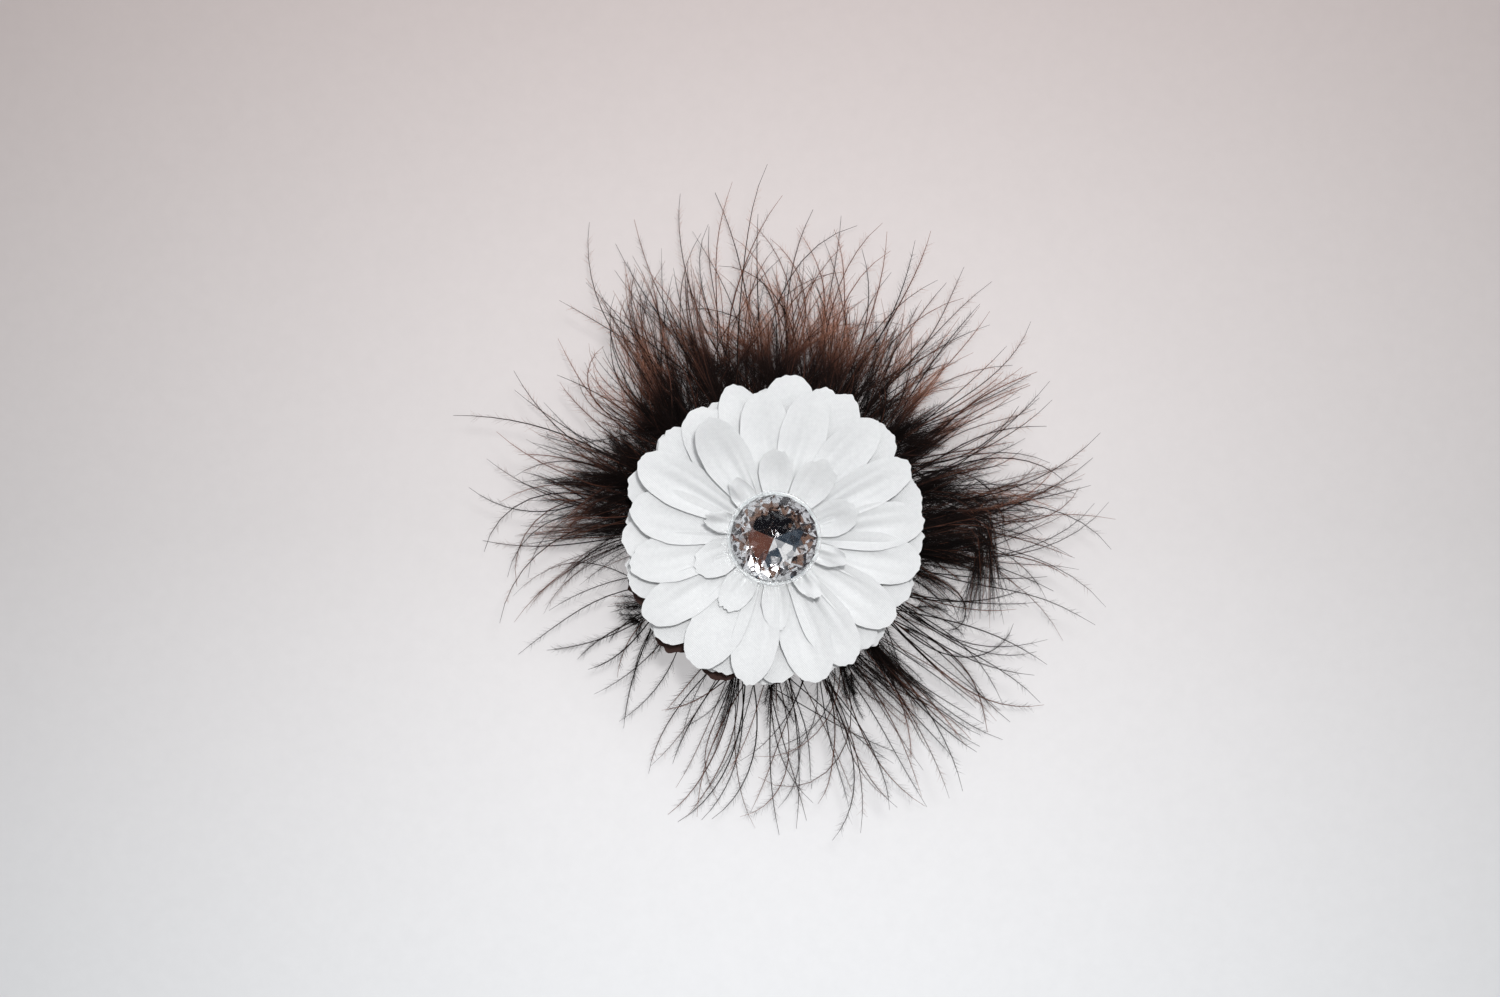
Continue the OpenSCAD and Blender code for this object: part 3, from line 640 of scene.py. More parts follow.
# For short, middling, long, lone and folded barbs: share of the thickness, of the fluff's length, and of the
# barb that is bare at its foot
BARB_KINDS = [(0.75, 1.0, 0.0), (1.0, 0.9, 0.0), (1.2, 1.0, 0.4), (1.3, 1.2, 0.5), (0.8, 0.7, 0.0)]

# Fine hairs along each barb. The petals hide those inside HIDDEN_R
HAIRS_EACH = 260
HAIR_R = 0.055
HIDDEN_R = 36.0

# The puff is warmest in this direction. Its fluff is nearly black inside the first of these radii, its own
# darker dye plus painted shade under the petals, and turns brown by the second
WARM_SIDE = 80
DYE_AND_PAINTED_SHADE_RADII = (48, 67)

# Each row: direction in degrees, reach of the longest barb, spread in degrees, number of short fluffy barbs
# and the radius that they fill, number of long thin barbs, and the bend of them all in degrees with its
# spread. Middling barbs, two fifths as many as the short ones, reach the ends of the wisps.
LOW_ROWS = [
    (6, 98, 9, 40, 67, 5, -3, 24), (30, 90, 15, 34, 62, 6, 8, 18), (54, 95, 15, 35, 64, 6, 8, 18),
    (78, 94, 13, 58, 70, 5, 0, 22), (101, 102, 15, 46, 70, 5, -8, 22),
    (125, 100, 14, 55, 72, 2, -36, 20), (148, 95, 14, 74, 72, 3, -26, 22),
    (176, 91, 10, 43, 67, 2, 20, 14), (212, 78, 18, 16, 56, 3, 12, 18), (254, 88, 11, 5, 60, 7, -8, 20),
    (271, 88, 14, 6, 60, 8, 0, 22), (300, 88, 14, 17, 62, 8, 4, 22), (325, 92, 13, 8, 59, 5, -8, 22),
    (346, 84, 12, 8, 62, 4, -30, 30)]
HIGH_ROWS = [
    (354, 102, 9, 46, 66, 5, -14, 34), (18, 96, 14, 32, 66, 7, 4, 26), (42, 90, 13, 47, 63, 7, 8, 20),
    (66, 96, 15, 42, 66, 5, 6, 22), (90, 96, 15, 50, 70, 5, 0, 24), (112, 108, 14, 44, 72, 4, -18, 22),
    (134, 88, 15, 78, 72, 2, -40, 22), (158, 97, 13, 56, 74, 3, 0, 26), (289, 90, 14, 3, 57, 6, -6, 22),
    (312, 90, 10, 26, 66, 7, 0, 26), (334, 92, 13, 6, 58, 4, -8, 24)]

# Single barbs that stand out, each with the direction and radius of its tip and the turn along it, in
# degrees and millimetres. A fourth number is the direction of the plume it leaves, where that isn't the one
# nearest to its tip.
LONE_BARBS = [
    (62.6, 98, 14), (54, 96, 10), (49.4, 97, -12), (39.8, 96, 16), (36, 87, 8), (32.9, 90, -14),
    (27.4, 87, 12), (26.3, 82, 20), (23.3, 84, -8), (15.9, 98, 14), (11.9, 96, 18), (-0.3, 101, -34),
    (3.7, 86, 12), (1.7, 81, -60), (-7.3, 85, -20), (-22.4, 85, 20), (-24.5, 82, 24), (-29, 84, 14),
    (-33, 94, 22), (-39, 87, -14), (-41, 89, 18), (-47, 84, 12), (-52.5, 90, -16), (-61.6, 90, 22),
    (-66.5, 84, -20), (-78, 90, -24), (-82.6, 79, 18), (-88.6, 80, -28), (-95.7, 86, -40),
    (-100.6, 85, -30), (-103, 81, 20), (-107, 89, -26), (-110, 87, -18), (-114, 72, 14), (-122, 59, 10),
    (156.5, 98, 14), (159.8, 84, -16), (161.5, 77, 12), (165.5, 78, 20), (171, 82, 22), (181, 91, 44),
    (186, 90, 48), (186.5, 84, 40), (188, 80, 44), (190.6, 63, 24), (197, 68, 16), (203, 82, 18),
    (207, 74, -12), (212, 57, 16), (216, 66, -14), (220, 62, 20), (222, 69, -10), (227, 61, 18),
    (232, 70, -16), (238, 60, -14), (144, 76, -20), (142, 78, 12), (133, 83, -60), (122, 108, -16),
    (119, 91, -10), (115, 86, 12), (106, 104, -14), (103.6, 92, 10), (99, 101, 12), (96, 88, -24),
    (93, 92, -6), (88, 90, 30), (84, 96, -16), (80, 89, -50), (79, 95, 8), (71.5, 95, -22), (69, 92, 10),
    (68, 89, -18), (-95.5, 86, -66, -60), (-93, 74, -50, -50), (-86, 70, -44, -60), (-20, 80, 50, -35),
    (-35, 62, -70, -14), (12, 88, -30, 18), (5, 94, 30, -6), (9, 90, -26, 6), (60, 80, -44, 78),
    (101, 84, 36, 78), (76, 84, -36, 101)]

# Tufts: the direction of each in degrees and the radius it reaches. A wisp that heads within TUFT_PULL of
# one joins it, and aims to one side of it by BEND_DRIFT of its own bend.
TUFTS = np.array([
    (-134, 54), (-52, 68), (-47, 64), (-30, 58), (-20, 60), (-7, 64), (5, 84), (10, 90), (20, 66),
    (33, 68), (43, 76), (48, 78), (56, 72), (61, 76), (72, 74), (77, 78), (82, 76), (88, 77), (95, 76),
    (108, 75), (115, 74), (119, 88), (125, 84), (133, 74), (138, 68), (144, 61), (150, 61), (157, 76),
    (162, 72), (167, 70), (173, 68), (179, 70)], float)
TUFT_PULL = 10.0
BEND_DRIFT = 0.15

# Barbs in the plume of one direction that run out to the right, to a radius in FOLD_R, and fold sharply down
FOLD_PLUME = 354
FOLDED = 66
FOLD_R = (57.5, 62.5)
FOLD_HEADING = 19
FOLD_TURN = 107
FOLD_FLUFF_END = 70


def wrapped(degrees):
    """Angles brought between -180 and 180 degrees."""
    return (degrees + 180) % 360 - 180


def tier_height(r, reach, high):
    """Height of a plume at radius r: level under the petals, then curling up or drooping to the table."""
    if high:
        return HIGH_TIER_Z + HIGH_TIER_LIFT * np.clip((r - PETAL_RIM) / (reach - PETAL_RIM), 0, 1.2) ** 1.5
    drop = LOW_TIER_Z - TABLE_Z - 0.6
    return LOW_TIER_Z - drop * np.clip((r - FELT_R) / (reach - FELT_R), 0, 1.2) ** 1.6


def lone_barbs(direction):
    """Rows of the lone barbs that are nearest to this plume, with their tips' directions taken from it."""
    rows = np.array([(row + row[:1])[:4] for row in LONE_BARBS], float)
    plumes = np.array([row[0] for row in LOW_ROWS + HIGH_ROWS], float)
    nearest = plumes[np.abs(wrapped(rows[:, 3:] - plumes)).argmin(axis=1)]
    return np.column_stack([wrapped(rows[:, 0] - direction), rows[:, 1:3]])[nearest == direction]


def barb_counts(row):
    """Numbers of short, middling, long, lone and folded barbs in a plume."""
    return row[3], row[3] * 2 // 5, row[5], len(lone_barbs(row[0])), FOLDED * (row[0] == FOLD_PLUME)


def barb_aims(row, random):
    """Feet, goals and manner of a plume's barbs, along +X.

    The short and middling barbs gather in wisps that fan out evenly over the plume's spread. All the barbs of
    a wisp head for one point and share its bend, how far it reaches, the tone of its fluff and the radius
    where that ends. A wisp near a tuft heads for the tuft and reaches as far as it does. The long barbs each
    go their own way. The lone ones have a turn in place of the bend, and end at their own points.
    """
    direction, reach, spread, _, fill, _, bend, bend_spread = row
    short, middling, long, lone, folded = barb_counts(row)
    gathered = short + middling
    count = gathered + long + lone + folded
    one = (count, 1)
    foot = random.uniform(FLUFF_FOOT, QUILL_END, one)
    wisps = max(2, gathered // WISP_SIZE)
    wisp = np.concatenate([random.integers(0, wisps, gathered), np.arange(gathered, count)])
    fan = random.normal(0, 1, one)
    evenly = np.linspace(-1, 1, wisps)[:, None] * min(1.6, 0.2 * wisps)
    fan[:wisps] = evenly + random.normal(0, 0.2, (wisps, 1))
    heading = direction + spread * fan[wisp]
    meet_r = random.uniform(*MEETING, one)[wisp]
    bends = bend + bend_spread * random.standard_t(5, one)[wisp] + random.normal(0, 7, one)
    bends = np.radians(np.clip(bends, -MOST_BEND, MOST_BEND))
    from_tufts = wrapped(TUFTS[:, 0] - heading)
    tuft = np.abs(from_tufts).argmin(axis=1)[:, None]
    to_tuft = np.take_along_axis(from_tufts, tuft, 1)
    joins = (np.abs(to_tuft) < TUFT_PULL) & (np.arange(count)[:, None] < gathered)
    meet_angle = np.radians(heading - direction + random.normal(0, 2.2, one))
    meet_angle = meet_angle + joins * (np.radians(to_tuft) - BEND_DRIFT * bends)
    tone = 0.25 + 1.1 * smooth(0.35, 0.75, random.uniform(0, 1, one)[wisp])
    far = random.uniform(0, 1, one)[wisp] ** 1.5
    tuft_end = TUFTS[tuft[:, 0], 1:] + 12 * far - 5
    free_end = fill - 5 + (0.7 * (reach - fill) + 5) * far
    wisp_end = np.where(joins, tuft_end, free_end)
    fluff_end = wisp_end + random.uniform(-8, 5, one)[wisp]
    fluff_end[gathered:gathered + long] = reach
    single = slice(gathered + long, count - folded)
    own_angle, own_r, own_turn = lone_barbs(direction).T[:, :, None]
    meet_angle[single] = np.radians(own_angle)
    meet_r[single] = own_r
    bends[single] = 0
    turn = np.zeros(one)
    turn[single] = np.radians(own_turn)
    tone[single] = 1.0 if np.sin(np.radians(direction)) > -0.1 else 0.35
    fluff_end[single] = own_r + 5
    tone[count - folded:] = 0.2
    fluff_end[count - folded:] = FOLD_FLUFF_END
    goal = np.concatenate([meet_r * np.cos(meet_angle), meet_r * np.sin(meet_angle)], 1)
    return foot, goal, bends, turn, wisp_end, tone, fluff_end


def barb_heights(r, reach, high, random):
    """Heights of barbs at radii r (n, steps): the plume's own, plus a loft that grows outwards.

    They are kept above the felt and the table, and below the petals.
    """
    one = (len(r), 1)
    loft = random.normal(0, 1, one) * LOFT * smooth(PETAL_RIM - 12, reach, r)
    stray = random.normal(0, 0.35, one) * (1 - smooth(30, PETAL_RIM, r))
    ceiling = UNDER_Z - 0.5 + 9 * smooth(PETAL_RIM, PETAL_RIM + 20, r)
    past_felt = np.maximum(TABLE_Z + TABLE_CLEAR, 3.5 - 1.2 * (r - FELT_R))
    floor = np.where(r < FELT_R + 1, FELT_HIGH[2] + 0.3, past_felt)
    return np.clip(tier_height(r, reach, high) + loft + stray, floor, ceiling)


def barb_paths(row, high, random):
    """Centre lines of a plume's barbs, along +X, with the tone of each one's fluff and where that ends.

    The heading is that of the chord to the barb's goal, plus a bow to one side that falls off along the barb
    and sums to nothing over it, so that barbs meet and cross, a bend that grows as a power of the way, a turn
    that sums to nothing, and a slow wander. The folded barbs keep one heading up to a corner and another
    after it. Summing the steps gives the line.
    """
    reach, fill = row[1], row[4]
    short, middling, long, lone, folded = barb_counts(row)
    gathered = short + middling
    alone = long + lone + folded
    count = gathered + alone
    single = slice(gathered + long, count - folded)
    one = (count, 1)
    t = np.linspace(0, 1, BARB_STEPS)[None]
    foot, goal, bends, turn, wisp_end, tone, fluff_end = barb_aims(row, random)
    chord = np.arctan2(goal[:, 1:], goal[:, :1] - foot)
    way_out = np.concatenate([random.uniform(0.25, 1.0, short), random.uniform(0.9, 1.1, middling)])
    tip = np.concatenate([
        PETAL_RIM + (wisp_end[:gathered, 0] - PETAL_RIM) * way_out,
        random.uniform(0.5 * (fill + reach), reach, alone)])[:, None]
    length = tip - foot
    length[single] = np.hypot(goal[single, :1] - foot[single], goal[single, 1:])
    side = np.where(np.arange(count)[:, None] % 2, 1.0, -1.0)
    looseness = np.repeat([1.0, 0.4], [gathered, alone])[:, None]
    bow = side * np.radians(random.uniform(4, 28, one)) * looseness
    swing = np.radians(random.normal(0, 7, one))
    wander = swing * np.sin(random.uniform(3, 8, one) * t + random.uniform(0, 6, one))
    angle = chord + bow * ((1 - t) ** 1.5 - 0.4) + bends * t ** 2.2
    angle = angle + turn * (2.25 * t ** 2 - 0.75) + wander * t
    if folded:
        last = slice(count - folded, count)
        out = np.radians(random.normal(FOLD_HEADING, 5, (folded, 1)))
        way = (random.uniform(*FOLD_R, (folded, 1)) - foot[last]) / np.cos(out)
        length[last] = way + random.uniform(12, 25, (folded, 1))
        corner = way / length[last]
        fold = np.radians(random.normal(FOLD_TURN, 9, (folded, 1))) * smooth(corner - 0.1, corner + 0.1, t)
        angle[last] = out - fold + 0.7 * wander[last] * t
    step = length * (1.02 + 0.04 * np.abs(turn)) / (BARB_STEPS - 1)
    x = foot + (np.cumsum(np.cos(angle) * step, axis=1) - np.cos(angle[:, :1]) * step)
    y = np.cumsum(np.sin(angle) * step, axis=1) - np.sin(angle[:, :1]) * step
    z = barb_heights(np.hypot(x, y), reach, high, random)
    return np.stack([x, y, z], -1), tone[:, 0], fluff_end


def barbules(paths, fluff, bare, fluff_end, random):
    """Fine side hairs of the barbs, as four-sided spikes: pairs along each barb, swept forward.

    They are longest at the foot, scaled by each barb's fluff, and shrink towards the tip. Those that the
    petals hide are left out, and so are those on the bare share at a barb's foot, and those past the radius
    where its fluff ends, give or take a few millimetres. The number of each hair's barb comes with them.
    """
    count = len(paths)
    many = (count, HAIRS_EACH)
    share_out = (np.arange(HAIRS_EACH)[None] + random.uniform(0, 1, many)) / HAIRS_EACH
    place = share_out * 0.92 * (BARB_STEPS - 1.001)
    low = place.astype(int)
    share = (place - low)[..., None]
    row = np.arange(count)[:, None]
    start = paths[row, low] * (1 - share) + paths[row, low + 1] * share
    along = unit(paths[row, low + 1] - paths[row, low])
    across = np.cross(along, UP)
    side = np.where(np.arange(HAIRS_EACH) % 2, 1.0, -1.0)[None, :, None]
    lean = np.radians(random.uniform(18, 50, (*many, 1)))
    tilt = random.normal(0, 0.45, (*many, 1))
    heading = np.cos(lean) * along + np.sin(lean) * (side * across + tilt * UP)
    length = 0.5 + 4.6 * random.uniform(0, 1, (*many, 1)) ** 1.3
    length = length * (1 - 0.45 * share_out[..., None]) * fluff[:, None, None]
    tip = start + heading * length
    tip[..., 2] = np.maximum(tip[..., 2], TABLE_Z + 0.1)
    behind = start - HAIR_R * along
    corners = np.stack([start + HAIR_R * along, behind + HAIR_R * UP, behind - HAIR_R * UP, tip], 2)
    corners = corners.reshape(-1, 4, 3)
    r = np.hypot(*corners[:, 3, :2].T)
    kept = (r > HIDDEN_R) & (r < (fluff_end + random.normal(0, 4, many)).ravel())
    kept = kept & (share_out > bare[:, None]).ravel()
    corners = corners[kept]
    a, b, c, d = np.moveaxis(corners, 1, 0)
    inside_out = np.einsum("ij,ij->i", np.cross(b - a, c - a), d - a) > 0
    corners[inside_out] = corners[inside_out][:, [0, 2, 1, 3]]
    one = np.array([[0, 1, 2], [0, 3, 1], [1, 3, 2], [2, 3, 0]])
    faces = (one[None] + np.arange(len(corners))[:, None, None] * 4).reshape(-1, 3)
    return corners.reshape(-1, 3), faces, np.arange(count).repeat(HAIRS_EACH)[kept]


def plume(name, row, high, seed):
    """One feather: a tapering quill, its barbs and their fluff, turned to its direction.

    Some barbs turn brown towards their tips and the rest stay nearly black. The fluff is dark near the
    petals, its own darker dye plus painted shade under the petals, and eases to brown further out. Both are
    browner on the warm side, by the cosine of the angle from it.
    """
    direction, reach = row[:2]
    counts = barb_counts(row)
    count = sum(counts)
    random = np.random.default_rng(seed)
    quill_r = np.linspace(QUILL_ROOT, QUILL_END + 2, QUILL_STEPS)
    quill = np.stack([quill_r, np.zeros(QUILL_STEPS), tier_height(quill_r, reach, high)], -1)[None]
    quill_girth = np.linspace(*QUILL_THICK, QUILL_STEPS)[None]
    quill_points, quill_walls, quill_ends = round_tubes(quill, quill_girth, 6)
    paths, fluff_tone, fluff_end = barb_paths(row, high, random)
    thick, fluff, bare = np.repeat(BARB_KINDS, counts, axis=0).T
    thick = thick * random.uniform(*BARB_THICK, count)
    outwards = np.linspace(0, 1, BARB_STEPS)[None]
    taper = 1 - 0.75 * outwards ** 2.6
    barb_points, barb_walls, barb_ends = round_tubes(paths, thick[:, None] * taper, BARB_SIDES)
    hair_points, hair_faces, owner = barbules(paths, fluff, bare, fluff_end, random)
    first_barb = len(quill_points)
    first_hair = first_barb + len(barb_points)
    points = turned(np.concatenate([quill_points, barb_points, hair_points]), direction)
    piece = mesh_piece(
        f"feather_{name}", points,
        [quill_walls, quill_ends, barb_walls + first_barb, barb_ends + first_barb, hair_faces + first_hair],
        DOWN, name, smooth_angle=180)
    warmth = 0.8 * smooth(-0.35, 0.9, np.cos(np.radians(direction - WARM_SIDE)))
    brown = np.where(random.uniform(0, 1, (count, 1)) < 0.25 + 0.3 * warmth, 0.6, 0.1)
    tone = random.uniform(0, 0.1, (count, 1)) + brown * outwards
    barb_tone = np.repeat(tone[:, :, None], BARB_SIDES, axis=2)
    hair_r = np.hypot(*hair_points[3::4, :2].T)
    # Painted shade: the fluff is nearly black near the petals, its own darker dye plus painted shade under
    # them
    hair_tone = (0.03 + 0.12 * warmth) + (0.85 + 0.1 * warmth) * smooth(*DYE_AND_PAINTED_SHADE_RADII, hair_r)
    hair_tone = hair_tone * (0.75 + 0.35 * warmth) * random.uniform(0.6, 1.1, len(hair_r)) * fluff_tone[owner]
    hair_tone = hair_tone[:, None] * np.array([0.7, 0.7, 0.7, 1.0])
    quill_tone = np.full(first_barb, 0.3)
    point_values(piece, "shade", np.concatenate([quill_tone, barb_tone.ravel(), hair_tone.ravel()]))


for tier, rows, high, first_seed in (("low", LOW_ROWS, False, 100), ("high", HIGH_ROWS, True, 200)):
    for number, row in enumerate(rows, 1):
        plume(f"{tier}_plume_{number}", row, high, first_seed + number)


# Backing, glue and ribbon

LATHE_SIDES = 96
AXIS_R = 0.02
PAD_RIM = 1.2
RIBBON_T = 0.36
RIBBON_COLUMNS = 15
RIBBON_IN_MOUTH = 29.8


def lathe(profile, wobble, seed):
    """Turns a closed profile of (r, z) points about the axis; wobble gives its radius a slow wave."""
    random = np.random.default_rng(seed)
    around = np.arange(LATHE_SIDES) * 2 * np.pi / LATHE_SIDES
    wave = sum(random.normal() / k * np.sin(k * around + random.uniform(0, 6)) for k in (2, 3, 5, 8))
    r = profile[:, 0, None] * (1 + wobble * wave[None] / profile[:, 0].max())
    points = np.stack(np.broadcast_arrays(r * np.cos(around), r * np.sin(around), profile[:, 1, None]), -1)
    return points.reshape(-1, 3), ring_quads(len(profile), LATHE_SIDES)


def round_edged_disc(r, low, high, edge_r, edge_steps, flat_steps):
    """Profile of a disc: out along its under side, half an ellipse round its rim, and back along its top."""
    edge = np.radians(np.linspace(-90, 90, edge_steps))
    half = (high - low) / 2
    rim = np.stack([r - edge_r + edge_r * np.cos(edge), low + half + half * np.sin(edge)], -1)
    inner = np.linspace(AXIS_R, r - edge_r, flat_steps)[:-1]
    under = np.stack([inner, np.full_like(inner, low)], -1)
    over = np.stack([inner[::-1], np.full_like(inner, high)], -1)
    return np.concatenate([under, rim, over])


def felt_disc():
    """Felt disc: a flat disc with softly rounded cut edges."""
    r, low, high = FELT_R, FELT_LOW[2], FELT_HIGH[2]
    profile = round_edged_disc(r, low, high, (high - low) / 2 * 0.6, edge_steps=9, flat_steps=12)
    points, faces = lathe(profile, wobble=0.12, seed=31)
    piece = mesh_piece("felt_disc", points, [faces], FELT, "felt_backing")


def glue_pad():
    """Glue pad that holds the quills: a squeezed disc with a bulging, uneven rim."""
    profile = round_edged_disc(PAD_HIGH[0], PAD_LOW[2], PAD_HIGH[2], PAD_RIM, edge_steps=11, flat_steps=8)
    points, faces = lathe(profile, wobble=0.35, seed=32)
    mesh_piece("feather_glue_pad", points, [faces], PAD_GLUE, "feather_glue")


def gem_bead():
    """Clear glue under and round the gem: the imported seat's profile with a rounded bead at the girdle."""
    r, low, girdle = BEAD_HIGH[0], BEAD_LOW[2], BEAD_HIGH[2]
    inner = GEM_HIGH[0] + 0.02
    radius = (r - inner) / 2
    bead = np.radians(np.linspace(-60, 130, 12))
    rim = np.stack([inner + radius + radius * np.cos(bead), girdle - radius + radius * np.sin(bead)], -1)
    seat = [[AXIS_R, low], [6.0, low], [10.0, low + 2.0]]
    wall = [[inner, girdle - 0.1], [inner, girdle - 1.1]]
    hollow = [[inner / 2, GEM_LOW[2] + 1.6], [AXIS_R, low + 0.25]]
    points, faces = lathe(np.concatenate([seat, rim, wall, hollow]), wobble=0.0, seed=33)
    mesh_piece("gem_glue_bead", points, [faces], CLEAR_GLUE, "gem_glue")


def strip_of_glue():
    """Glue strip between felt and ribbon: a long flat pad with round ends and squeezed, wavy flanks.

    Its outline is a rounded oblong, powers of a cosine and a sine. Rings of it, each a share of the outline
    and of the height, go from the middle out along the under side, round the flank and back on top.
    """
    half_l, half_w = STRIP_HIGH[:2]
    low, high = STRIP_LOW[2], STRIP_HIGH[2]
    around = np.linspace(0, 2 * np.pi, 121)[:-1]
    wave = 1 + 0.05 * np.sin(7 * around + 1) + 0.04 * np.sin(11 * around)
    x = half_l * np.sign(np.cos(around)) * np.abs(np.cos(around)) ** 0.7
    y = half_w * np.sign(np.sin(around)) * np.abs(np.sin(around)) ** 0.45 * wave
    shares = np.array([[0.02, 0], [0.9, 0], [0.97, 0.2], [1.0, 0.5], [0.97, 0.8], [0.9, 1], [0.02, 1]])
    out, up = shares[:, :1], shares[:, 1:]
    points = np.stack(np.broadcast_arrays(out * x, out * y, low + up * (high - low)), -1)
    faces = ring_quads(len(shares), len(around))
    mesh_piece("glue_strip_squeezed", points, [faces], PAD_GLUE, "glue_strip")


def ribbon_liner():
    """Ribbon round the upper lever's tip: a flat strip in the mouth, a half turn, and a strip back on top.

    Its width has a slight sine with the pitch of its ribs.
    """
    tip = RIBBON_LOW[0] + RIBBON_HIGH[2] / 2
    half = (RIBBON_HIGH[2] - RIBBON_LOW[2]) / 2
    radius = half - RIBBON_T / 2
    turn = np.radians(np.linspace(-90, -270, 13))
    inside = np.linspace(LEVER_TIP + RIBBON_IN_MOUTH, tip, 40)[:-1]
    on_top = np.linspace(tip, RIBBON_HIGH[0], 60)[1:]
    path = np.concatenate([
        np.stack([inside, np.full_like(inside, half - radius)], -1),
        np.stack([tip + radius * np.cos(turn), half + radius * np.sin(turn)], -1),
        np.stack([on_top, np.full_like(on_top, half + radius)], -1)])
    travelled = np.concatenate([[0], np.cumsum(np.linalg.norm(np.diff(path, axis=0), axis=1))])
    u = np.linspace(-1, 1, RIBBON_COLUMNS)[None]
    width = RIBBON_HIGH[1] * (1 + 0.004 * np.sin(2 * np.pi * travelled / RIB_PITCH))
    points = np.stack(np.broadcast_arrays(path[:, :1], u * width[:, None], path[:, 1:]), -1)
    points = points + RIBBON_T / 2 * normals_of(points[None])[0]
    shell, faces = thin_shells(points[None], RIBBON_T)
    piece = mesh_piece("ribbon_liner", shell, [faces], RIBBON, "clip_ribbon")
    point_values(piece, "along", np.tile(np.repeat(travelled * MM, RIBBON_COLUMNS), 2))


felt_disc()
glue_pad()
gem_bead()
strip_of_glue()
ribbon_liner()


# Spring

WIRE_R = 0.25
COIL_R = 1.2
COIL_PITCH = 1.0
COILS = 3
LEG_LENGTH = 9.0
TAIL_SLOPE = np.radians(24)


def spring_wire():
    """Torsion spring: a leg along the lower tail, a helix round the pin, and a leg under the upper tail.

    The helix turns backwards about the pin from the lower leg's tangent point to the upper leg's, one pitch
    along the pin each turn. It bends between the two levers along the pin.
    """
    sweep = COILS * 2 * np.pi + np.pi - TAIL_SLOPE
    swept = np.linspace(0, sweep, 120)
    heading = 1.5 * np.pi - TAIL_SLOPE - swept
    y = COIL_PITCH * (swept - sweep / 2) / (2 * np.pi)
    helix = np.stack([HINGE[0] + COIL_R * np.cos(heading), y, HINGE[2] + COIL_R * np.sin(heading)], -1)
    out = np.linspace(1, 0, 25)[:-1, None]
    lower = helix[0] + LEG_LENGTH * out * np.array([np.cos(TAIL_SLOPE), 0, -np.sin(TAIL_SLOPE)])
    upper = helix[-1] + LEG_LENGTH * out[::-1] * np.array([1.0, 0, 0])
    path = np.concatenate([lower, helix, upper])[None]
    points, walls, ends = round_tubes(path, np.full(path.shape[:2], WIRE_R), 12)
    piece = mesh_piece("spring_wire", points, [walls, ends], DRAWN, "torsion_spring",
                       body=None)
    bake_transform(piece)


spring_wire()


# Table, light and camera

GEM_PIXEL = np.array([774.0, 538.0])
IMAGE = np.array([1500.0, 997.0])
MM_PER_PIXEL = 0.2867
SENSOR = 36.0
FACE_Z = 11.0
CAMERA_ABOVE = 800.0
TABLE_HALF = 6.0
LAMP_AIM = (0.0, 0.0, 0.01)

# Share of its tone that the floor gives off evenly, the light on it that this stands for, and the tone of
# the floor at the horizon
FLOOR_GLOW = 0.5
FLOOR_LIGHT = 0.95
FAR_FLOOR = (0.652, 0.65, 0.656)


def table_top():
    """Pale table with painted light: from cool white at the bottom of the picture to warm grey at the top,
    and a painted pool of light that darkens it outwards, then even.

    It gives off a share of its tone evenly and takes the rest from the light, so the shadow stays pale.
    """
    z = (TABLE_Z - 0.05) * MM
    mesh = bpy.data.meshes.new("table_top")
    corners = [(x * TABLE_HALF, y * TABLE_HALF, z) for x, y in ((-1, -1), (1, -1), (1, 1), (-1, 1))]
    mesh.from_pydata(corners, [], [(0, 1, 2, 3)])
    material, tree, shader, place = new_material("table_top", Roughness=0.9, Specular_IOR_Level=0.1)
    up = ranged(tree, add(tree, "ShaderNodeSeparateXYZ", place).outputs["Y"], -0.14, 0.16)
    # Painted light: the floor falls off from cool white at the bottom of the picture to warm grey at the top
    painted_light_tint = colour_ramp(tree, up, colour(249, 250, 252), colour(215, 204, 202), (0.48, colour(223, 219, 219)))
    off = vector_math(tree, "LENGTH", place)["Value"]
    # Painted pool of light: the floor darkens outwards from the middle, then evens out
    painted_light_pool = ranged(tree, off, 0.08, 0.3, To_Min=1.06, To_Max=0.68)
    shade = math(tree, "MULTIPLY", painted_light_pool, mottle(tree, place, 260, 0.985, 1.01))
    near = vector_math(tree, "SCALE", painted_light_tint, Scale=shade)["Vector"]
    far = ranged(tree, off, 0.3, 0.9, interpolation_type="SMOOTHSTEP")
    tone = mix_colours(tree, near, colour(240, 239, 239), far)
    matt = vector_math(tree, "SCALE", tone, Scale=1 - FLOOR_GLOW)["Vector"]
    tree.links.new(matt, shader.inputs["Base Color"])
    tree.links.new(tone, shader.inputs["Emission Color"])
    shader.inputs["Emission Strength"].default_value = FLOOR_LIGHT * FLOOR_GLOW
    mesh.materials.append(material)
    table = bpy.data.objects.new("table_top", mesh)
    bpy.context.scene.collection.objects.link(table)


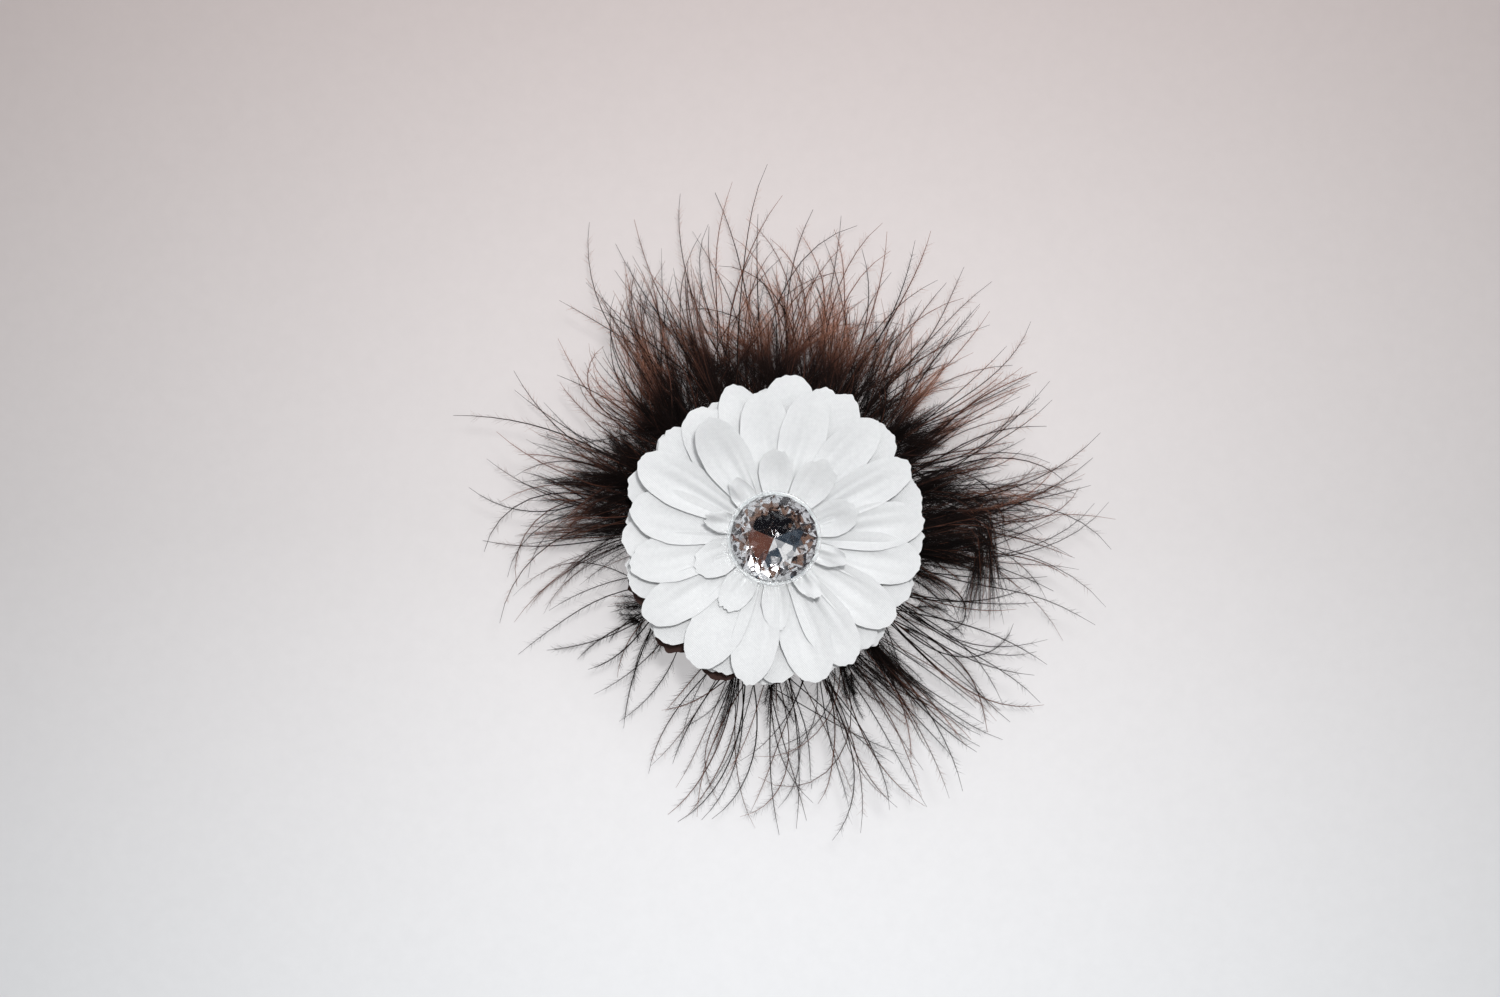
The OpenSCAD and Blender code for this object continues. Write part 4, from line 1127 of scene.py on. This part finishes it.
def room():
    """World: soft light for matt surfaces, stronger from above and behind, and a dim room for gem and metal.

    The room is dark in front, brown on the right and bright at the upper left, under a patchy ceiling that
    darkens overhead. Each part eases in with the dot product of the line of sight and the direction it lies
    in. The camera sees a pale backdrop that starts with the floor's own tone at the horizon.
    """
    world = bpy.data.worlds.new("room")
    bpy.context.scene.world = world
    world.use_nodes = True
    tree = world.node_tree
    view = add(tree, "ShaderNodeTexCoord").outputs["Generated"]
    noise = add(tree, "ShaderNodeTexNoise", Vector=view, Scale=7.0, Detail=2.0).outputs[0]

    def facing(direction, low, high):
        """Eases from 0 to 1 as the dot product with a direction goes from low to high."""
        towards = vector_math(tree, "DOT_PRODUCT", view, direction)["Value"]
        return ranged(tree, towards, low, high, interpolation_type="SMOOTHSTEP")

    ahead, right, above = (-0.5, 0.87, 0), (0.95, 0.3, 0), (0, 0, 1)
    soft = tree.nodes["Background"]
    soft.inputs["Color"].default_value = (0.97, 0.98, 1.0, 1)
    strength = math(tree, "MULTIPLY_ADD", facing((0.15, 0.78, 0.61), -0.1, 1.0), 0.68, 0.2)
    tree.links.new(strength, soft.inputs["Strength"])

    walls = mix_colours(tree, (0.008, 0.008, 0.01), (0.05, 0.07, 0.095), facing(ahead, 0.1, 0.5))
    walls = mix_colours(tree, walls, (1.0, 1.0, 1.0), facing(ahead, 0.76, 0.84))
    walls = mix_colours(tree, walls, (0.17, 0.07, 0.05), facing(right, 0.5, 0.66))
    patches = ranged(tree, noise, 0.46, 0.54)
    ceiling = mix_colours(tree, (0.06, 0.055, 0.06), (0.34, 0.22, 0.16), patches)
    ceiling = mix_colours(tree, ceiling, (0.95, 0.97, 0.98), ranged(tree, noise, 0.46, 0.5))
    middle = mix_colours(tree, (0.018, 0.016, 0.018), (0.3, 0.18, 0.13), patches)
    ceiling = mix_colours(tree, ceiling, middle, facing(above, 0.935, 0.95))
    ceiling = mix_colours(tree, ceiling, (0.01, 0.01, 0.012), facing(above, 0.988, 0.994))
    inside = mix_colours(tree, walls, ceiling, facing(above, 0.6, 0.68))
    shown = add(tree, "ShaderNodeBackground", Color=inside)
    backdrop = mix_colours(tree, FAR_FLOOR, (0.73, 0.71, 0.7), facing(above, 0.0, 0.3))
    pale = add(tree, "ShaderNodeBackground", Color=backdrop)

    ray = add(tree, "ShaderNodeLightPath").outputs
    mirror = math(tree, "MAXIMUM", ray["Is Glossy Ray"], ray["Is Transmission Ray"])
    unseen = add(tree, "ShaderNodeMixShader", mirror, soft.outputs[0], shown.outputs[0])
    all_rays = add(tree, "ShaderNodeMixShader", ray["Is Camera Ray"], unseen.outputs[0], pale.outputs[0])
    tree.links.new(all_rays.outputs[0], tree.nodes["World Output"].inputs["Surface"])


def lamp(name, place, size, power):
    """A square soft lamp at a place in metres, aimed at the flower."""
    light = bpy.data.lights.new(name, "AREA")
    light.size = size
    light.energy = power
    made = bpy.data.objects.new(name, light)
    made.location = place
    aim = np.array(LAMP_AIM) - np.array(place)
    made.rotation_euler = Vector(aim).to_track_quat("-Z", "Y").to_euler()
    bpy.context.scene.collection.objects.link(made)


def camera():
    """Camera straight above the table, set off so that the gem falls on its pixel."""
    data = bpy.data.cameras.new("camera")
    off = (GEM_PIXEL - IMAGE / 2) * MM_PER_PIXEL
    data.sensor_width = SENSOR
    data.lens = SENSOR * CAMERA_ABOVE / (IMAGE[0] * MM_PER_PIXEL)
    made = bpy.data.objects.new("camera", data)
    made.location = (-off[0] * MM, off[1] * MM, (FACE_Z + CAMERA_ABOVE) * MM)
    bpy.context.scene.collection.objects.link(made)
    bpy.context.scene.camera = made


table_top()
room()
lamp("flash", (0.1, 0.22, 0.83), size=0.12, power=4.2)
camera()
bpy.context.scene.view_settings.view_transform = "Standard"
